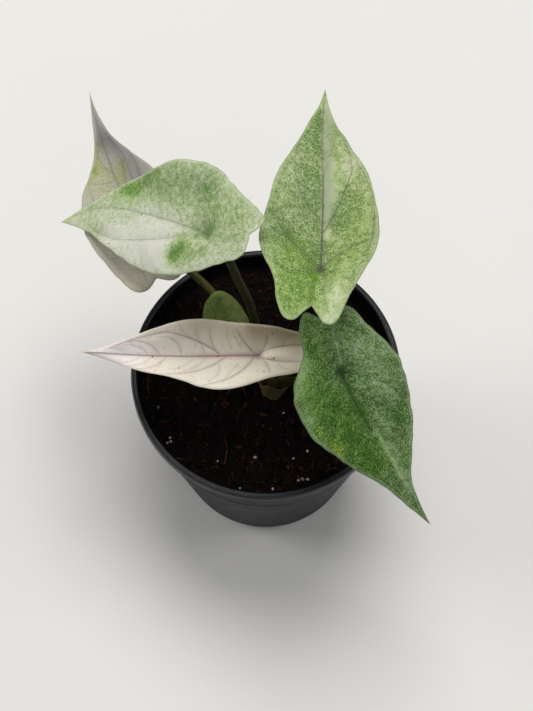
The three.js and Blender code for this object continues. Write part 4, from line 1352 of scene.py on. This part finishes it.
class AROID_OT_mix(bpy.types.Operator):
    """Fill the pot with potting mix and strew its crumbs, bark, fibres and perlite"""

    bl_idname = "aroid.mix"
    bl_label = "Potting mix"

    def execute(self, context):
        pot, look = context.scene.aroid_pot, context.scene.aroid_mix
        foot = (pot.foot_radius - pot.wall) / MM
        inner, shoulder = (pot.lip_radius - LIP_ROLL * MM) / MM, pot.height / MM - LIP_DEPTH
        slope = (inner - foot) / (shoulder - FLOOR_TOP)
        body = mix_mesh(lambda height: foot + slope * (height - FLOOR_TOP))
        # The damp mix and its crumbs are made darker than their own colour, as painted shade
        # inside the pot.
        damp = earth_material("Damp mix", look.dark_with_painted_shade, shade(look.dark_with_painted_shade, 2), 160.0, 0.85)
        crumbly = earth_material("Crumbs", look.dark_with_painted_shade, (0.016, 0.007, 0.005), 190.0, 0.9)
        rusty = earth_material("Bark chips", look.bark, shade(look.bark, 0.35), 220.0, 0.75)
        tan = earth_material("Coir fibres", look.coir, shade(look.coir, 0.5), 300.0, 0.8)
        pale = shade(look.coir, 2.6)
        straw = earth_material("Long threads", pale, shade(pale, 0.6), 300.0, 0.8)
        chalk = earth_material("Perlite", (0.78, 0.66, 0.58), (0.4, 0.3, 0.26), 900.0, 0.9)

        place_piece("soil_body", body, "soil", damp)
        layers = (
            ("soil_crumbs", grains_tree(), {
                "density": look.crumbs, "seed": 3, "smallest": 0.0003, "largest": 0.0010,
                "stretch": (1, 0.8, 0.7), "roughness": 0.0007, "material": crumbly}),
            ("bark_chips", grains_tree(), {
                "density": look.chips, "seed": 8, "smallest": 0.0006, "largest": 0.0020,
                "stretch": (1.3, 0.5, 0.3), "roughness": 0.001, "material": rusty}),
            ("coir_fibres", fibres_tree(), {
                "density": look.fibres, "seed": 5, "length": 0.006, "radius": 0.00011,
                "material": tan}),
        )
        for name, tree, inputs in layers:
            place_piece(name, grown(body, tree, name, **inputs))
        threads = [stalk_skin([on_mix(x, y) for x, y in places], 24, (0.18, 0.12), 5, straw)
                   for places in THREADS]
        place_piece("long_threads", joined("long_threads", threads),
                    material=straw)
        for seed, (name, size) in enumerate((("small", 0.5), ("large", 0.85))):
            places = new_mesh("perlite places", [on_mix(x, y) for x, y in PERLITE[name]], [])
            mesh = grown(places, grains_tree(), "perlite", on_points=True, seed=seed,
                         smallest=size * 0.0011, largest=size * 0.0015,
                         stretch=(1, 0.85, 0.8), roughness=0.0009, material=chalk)
            place_piece("perlite_" + name, mesh)
        return {"FINISHED"}


# Stalks

def route_through(points, steps):
    """Evenly spread points on a centripetal curve through the given ones."""
    points = [2 * points[0] - points[1], *points, 2 * points[-1] - points[-2]]
    fine = []
    for before, start, end, after in zip(points, points[1:], points[2:], points[3:]):
        gaps = [max((b - a).length, 1e-4) ** 0.5
                for a, b in ((before, start), (start, end), (end, after))]
        out = ((start - before) / gaps[0] - (end - before) / (gaps[0] + gaps[1])
               + (end - start) / gaps[1]) * gaps[1]
        back = ((end - start) / gaps[1] - (after - start) / (gaps[1] + gaps[2])
                + (after - end) / gaps[2]) * gaps[1]
        fine += curve_points(start, end, out, back, 40)
    return even_points([*fine, points[-2]], steps)


def path_curve(points):
    """A curve of straight steps through points in millimetres."""
    curve = bpy.data.curves.new("path", "CURVE")
    curve.dimensions = "3D"
    spline = curve.splines.new("POLY")
    spline.points.add(len(points) - 1)
    for target, point in zip(spline.points, points):
        target.co = (*(value * MM for value in point), 1)
    return curve


@geometry_group("Stalk skin", foot_radius="Float", top_radius="Float", flare="Float",
                flare_length="Float", swelling="Float", sides="Int")
def stalk_tree(bench, geometry, foot, top, flare, flare_length, swelling, sides, material):
    """A round skin along a path: wide where it sheathes, slim, and swollen at its top."""
    share, length = bench.add("GeometryNodeSplineParameter").outputs[:2]
    slim = bench.named("ShaderNodeMapRange", {"Value": share, "To Min": foot, "To Max": top})
    widened = bench.times(bench.ramp(length, flare_length, 0.0), flare)
    swollen = bench.times(bench.ramp(share, 0.95, 1.0), swelling)
    radius = bench.times(slim, bench.math("ADD", 1.0, bench.math("ADD", widened, swollen)))
    section = bench.shape("CurvePrimitiveCircle", resolution=sides, radius=1.0)
    path = bench.kept(geometry, "along", length)
    profile = bench.kept(section, "around", bench.shape("InputPosition"), "FLOAT_VECTOR")
    skin = bench.shape("CurveToMesh", curve=path, profile_curve=profile, scale=radius,
                       fill_caps=True)
    return [bench.shape("SetMaterial", geometry=skin, material=material)]


def stalk_skin(places, steps, radii, sides, material, flare=0.0, swelling=0.0):
    """A round skin along a curve through places, from the foot's radius to the top's."""
    foot, top = radii
    return grown(path_curve(route_through(places, steps)), stalk_tree(), "skin",
                 foot_radius=foot * MM, top_radius=top * MM, flare=flare,
                 flare_length=0.02, swelling=swelling, sides=sides, material=material)


def stalk_material(look):
    """Fresh olive stalk, paler and streaked towards its foot, with painted shade and light per
    stalk.
    """
    bench = Skin("Stalk skin")
    along = bench.attribute("along")
    streak, speck = bench.group(streak_group(), along=along, fineness=3.2,
                                around=bench.attribute("around", "Vector"))
    green = opaque(look.green)
    pale = bench.mix(0.5, green, paint(84, 84, 44))
    foot = bench.mix(bench.ramp(streak, 0.3, 0.7), paint(78, 72, 38), paint(60, 46, 30))
    colour = bench.coats(
        green,
        (bench.ramp(streak, 0.38, 0.68), pale),
        (bench.ramp(along, 0.022, 0.002, 0.0, 0.8), foot),
        (bench.ramp(speck, 0.5, 0.66, 0.0, 0.5), paint(50, 40, 22)))
    # Each stalk's tone attribute is painted light: above 1 it lightens a lit stalk, below 1 it
    # darkens a shaded one.
    colour = bench.vector("MULTIPLY", colour, bench.attribute("tone"))
    return bench.finish(colour, bench.ramp(speck, 0.2, 0.8, 0.62, 0.5), 0.08,
                        (streak, 0.5, 0.0003))


def stalk_places(leaf, valley):
    """Where a stalk runs: up from the crown and into its blade, under the valley there."""
    angle = math.radians(leaf["stalk_angle"])
    foot = CROWN + Vector((STALK_CIRCLE * math.cos(angle), STALK_CIRCLE * math.sin(angle),
                           FOOT_GAP))
    seat, up = Vector(leaf["seat"]), leaf_matrix(leaf).to_3x3() @ UP / MM
    return [foot - STALK_SINK * UP, foot, foot + STRAIGHT_FOOT * UP,
            *map(Vector, leaf["route"]), seat - up * STRAIGHT_TOP,
            seat - up * (DIMPLE_DEPTH + valley + TOP_GAP)]


class AROID_OT_stalks(bpy.types.Operator):
    """Grow one stalk from the crown to the underside of each blade"""

    bl_idname = "aroid.stalks"
    bl_label = "Stalks"

    def execute(self, context):
        look = context.scene.aroid_stalk
        valley = context.scene.aroid_blade.valley / MM
        material = stalk_material(look)
        for name, leaf in LEAVES.items():
            mesh = stalk_skin(stalk_places(leaf, valley), 90,
                              (leaf["stalk_foot"], leaf["stalk_top"]), look.sides, material,
                              look.flare, 0.25)
            mesh.shade_smooth()
            # Keeps the stalk's painted light at its points, for the shader.
            store(mesh, "tone", np.full(len(mesh.vertices), leaf["stalk_tone"]))
            place_piece("stalk_" + name, mesh, "petiole_" + name)
        return {"FINISHED"}


# Crown

class AROID_OT_corm(bpy.types.Operator):
    """Build the ringed corm with its thick roots inside the potting mix"""

    bl_idname = "aroid.corm"
    bl_label = "Corm and roots"

    def execute(self, context):
        foot = CROWN.z - CORM_HEIGHT
        corners = [(0, foot, 0), (5.2, foot + 2, 1.6), (8.8, foot + 7, 2.2),
                   (9.5, foot + 12, 2.2), (8.7, foot + 17, 2.2), (6.4, foot + 21, 1.6),
                   (6.4, CROWN.z, 1.2), (0, CROWN.z, 0)]

        def scars(angle, height):
            return 0.3 * math.sin(height * 2.6) + 0.15 * math.sin(5 * angle + height)

        def at(start, reach, drop):
            angle = start + reach / 40
            return Vector((CROWN.x + reach * math.cos(angle),
                           CROWN.y + reach * math.sin(angle), foot + 9 - drop))

        bark = earth_material("Corm bark", (0.20, 0.11, 0.05), (0.09, 0.045, 0.02), 130.0, 0.85)
        parts = [turned(rounded(corners, 9), 48,
                        Matrix.Translation((CROWN.x, CROWN.y, 0)), scars)]
        roots = 5
        for index in range(roots):
            start = 2 * math.pi * (index + 0.3) / roots
            places = [at(start, reach, drop) for reach, drop in (
                (3.8, 0), (12.35, 3), (18, 16.1), (24, 46 + index * 2))]
            parts.append(stalk_skin(places, 48, (1.3, 0.78), 12, bark))
        mesh = joined("corm_body", parts)
        mesh.shade_smooth()
        place_piece("corm_body", mesh, "corm", bark)
        return {"FINISHED"}


def sheath_material(look):
    """Papery olive sheath with fine ribs and a brown dry edge."""
    bench = Skin("Papery sheath")
    place = bench.attribute("sheath_place", "Vector")
    across, up, _ = bench.split(place)
    ribs = bench.math("SINE", bench.times(across, SHEATH_RIBS))
    drift = bench.spots(bench.vector("MULTIPLY", place, (30, 4, 0)), 1.0, 3.0, 0.6)
    worn = bench.scaled(drift, 0.35, up)
    colour = bench.coats(
        paint(72, 66, 32),
        (bench.ramp(drift, 0.35, 0.7), opaque(look.straw)),
        (bench.ramp(ribs, 0.2, 1.0, 0.0, 0.4), paint(52, 44, 22)),
        (bench.ramp(worn, 0.98, 1.15, 0.0, 0.9), paint(88, 62, 42)))
    return bench.finish(colour, bench.ramp(worn, 0.9, 1.2, 0.5, 0.8), bump=(ribs, 0.4, 0.0002))


class AROID_OT_sheath(bpy.types.Operator):
    """Build the papery sheath with its wavy edge round the front of the crown"""

    bl_idname = "aroid.sheath"
    bl_label = "Sheath"

    def execute(self, context):
        across, up = 150, 36
        facing, span = -82, 190
        bulge_at, bulge_width = 0.38, 0.17
        u, v = (grid.ravel() for grid in np.meshgrid(
            np.linspace(0, 1, across + 1), np.linspace(0, 1, up + 1), indexing="ij"))
        tatter = np.array([noise.noise(Vector((a * 16, b * 1.5, 5))) for a, b in zip(u, v)])
        angle = np.radians(facing + span * (u - 0.5))
        bulge = np.exp(-((u - bulge_at) / bulge_width) ** 2)
        ripple = 0.35 * (1 - v) * bulge * np.sin(9 * np.pi * u)
        ribs = 0.07 * np.sin(SHEATH_RIBS * u) * (1 - 0.5 * v)
        radius = 7.2 + 3.4 * bulge * (1 - v) ** 1.3 + ripple + ribs + 0.5 * tatter * (1 - v)
        height = SOIL_LEVEL + v * (4 + 5.5 * bulge) + 0.7 * tatter * v ** 3
        inner = np.stack([CROWN.x + radius * np.cos(angle), CROWN.y + radius * np.sin(angle),
                          height], axis=1)
        index = np.arange(len(u)).reshape(across + 1, up + 1)
        quads = np.stack([index[:-1, :-1], index[1:, :-1], index[1:, 1:], index[:-1, 1:]],
                         axis=-1).reshape(-1, 4)
        outer = inner + point_normals(inner, quads) * (0.6 - 0.3 * v)[:, None]
        count = len(inner)
        loop = np.concatenate([index[:-1, 0], index[-1, :-1], index[:0:-1, -1], index[0, :0:-1]])
        faces = [*quads, *([corner + count for corner in reversed(quad)] for quad in quads)]
        faces += [(b, a, a + count, b + count) for a, b in zip(loop, np.roll(loop, -1))]
        mesh = new_mesh("sheath_leaf", [*outer, *inner], faces)
        place = np.stack([u, v, np.zeros(count)], axis=1)
        store(mesh, "sheath_place", np.concatenate([place, place]))
        place_piece("sheath_leaf", mesh, "sheath",
                    sheath_material(context.scene.aroid_stalk))
        return {"FINISHED"}


class AROID_OT_blades(bpy.types.Operator):
    """Bend and marble every leaf blade"""

    bl_idname = "aroid.blades"
    bl_label = "Blades"

    def execute(self, context):
        sizes = context.scene.aroid_blade
        for name, leaf in LEAVES.items():
            place_piece("leaf_" + name, blade_mesh("blade_" + name, leaf, sizes),
                        "blade_" + name, blade_material(name, leaf))
        return {"FINISHED"}


# Studio

def area_light(name, power, size, place, colour):
    """Hangs a soft round light that looks at the plant's middle."""
    data = bpy.data.lights.new(name, "AREA")
    data.energy = power
    data.shape = "DISK"
    data.size = size
    data.color = colour
    light = bpy.data.objects.new(name, data)
    light.location = place
    towards = Vector((0, 0, 0.12)) - Vector(place)
    light.rotation_euler = towards.to_track_quat("-Z", "Y").to_euler()
    bpy.context.scene.collection.objects.link(light)


def floor_material(look):
    """Pale matt floor with faint clouds."""
    bench = Skin("Studio floor")
    cloud, grit = bench.group(grain_group(), scale=3.0)
    colour = bench.mix(bench.ramp(cloud, 0.3, 0.7, 0.0, 0.08), opaque(look.floor),
                       paint(196, 194, 190))
    return bench.finish(colour, bench.ramp(grit, 0.2, 0.8, 0.75, 0.85))


class AROID_OT_studio(bpy.types.Operator):
    """Lay the pale floor, hang the soft lights and set the camera"""

    bl_idname = "aroid.studio"
    bl_label = "Studio"

    def execute(self, context):
        scene, look = context.scene, context.scene.aroid_studio
        disc = bpy.data.meshes.new("floor")
        form = bmesh.new()
        bmesh.ops.create_circle(form, cap_ends=True, radius=3, segments=96)
        form.to_mesh(disc)
        form.free()
        disc.materials.append(floor_material(look))
        floor = bpy.data.objects.new("studio_floor", disc)
        scene.collection.objects.link(floor)

        soft_white = (1.0, 0.985, 0.97)
        area_light("key", look.key, 1.2, (0.1, 0.72, 2.1), (1.0, 0.985, 0.96))
        area_light("left", look.side, 0.8, (-1.5, 0.3, 0.8), soft_white)
        area_light("right", look.side * 0.5, 0.8, (1.4, 0.1, 1), soft_white)
        area_light("fill", look.fill, 1.3, (0.35, -1.0, 0.9), (0.95, 0.975, 1.0))
        world = bpy.data.worlds.new("studio")
        world.use_nodes = True
        backdrop = world.node_tree.nodes["Background"]
        backdrop.inputs["Color"].default_value = (0.86, 0.88, 0.9, 1)
        backdrop.inputs["Strength"].default_value = 0.19
        scene.world = world
        scene.view_settings.view_transform = "Standard"

        elevation = math.radians(VIEW_ELEVATION)
        back = Vector((0, -math.cos(elevation), math.sin(elevation)))
        data = bpy.data.cameras.new("camera")
        data.sensor_width = 36
        data.lens = FOCAL_PIXELS * data.sensor_width / PHOTO_PIXELS
        data.clip_start, data.clip_end = 0.01, 20
        camera = bpy.data.objects.new("camera", data)
        camera.location = VIEW_TARGET + back * VIEW_DISTANCE
        camera.rotation_euler = (math.pi / 2 - elevation, 0, 0)
        scene.collection.objects.link(camera)
        scene.camera = camera
        return {"FINISHED"}


OPERATORS = (AROID_OT_studio, AROID_OT_pot, AROID_OT_mix, AROID_OT_corm, AROID_OT_sheath,
             AROID_OT_stalks, AROID_OT_blades)


class AROID_PT_panel(bpy.types.Panel):
    """Lists what builds the plant"""

    bl_label = "Potted aroid"
    bl_idname = "AROID_PT_panel"
    bl_space_type = "VIEW_3D"
    bl_region_type = "UI"
    bl_category = "Aroid"

    def draw(self, context):
        for operator in OPERATORS:
            self.layout.operator(operator.bl_idname)


SETTINGS = {"aroid_pot": PotSizes, "aroid_mix": MixLook, "aroid_blade": BladeSizes,
            "aroid_stalk": StalkLook, "aroid_studio": StudioLook}


def register():
    for kind in (*SETTINGS.values(), *OPERATORS, AROID_PT_panel):
        bpy.utils.register_class(kind)
    for name, kind in SETTINGS.items():
        setattr(bpy.types.Scene, name, PointerProperty(type=kind))


def unregister():
    for name in SETTINGS:
        delattr(bpy.types.Scene, name)
    for kind in (AROID_PT_panel, *reversed(OPERATORS), *reversed(SETTINGS.values())):
        bpy.utils.unregister_class(kind)


def main():
    register()
    bpy.ops.aroid.studio()
    bpy.ops.aroid.pot()
    bpy.ops.aroid.mix()
    bpy.ops.aroid.corm()
    bpy.ops.aroid.sheath()
    bpy.ops.aroid.stalks()
    bpy.ops.aroid.blades()


if __name__ == "__main__":
    main()
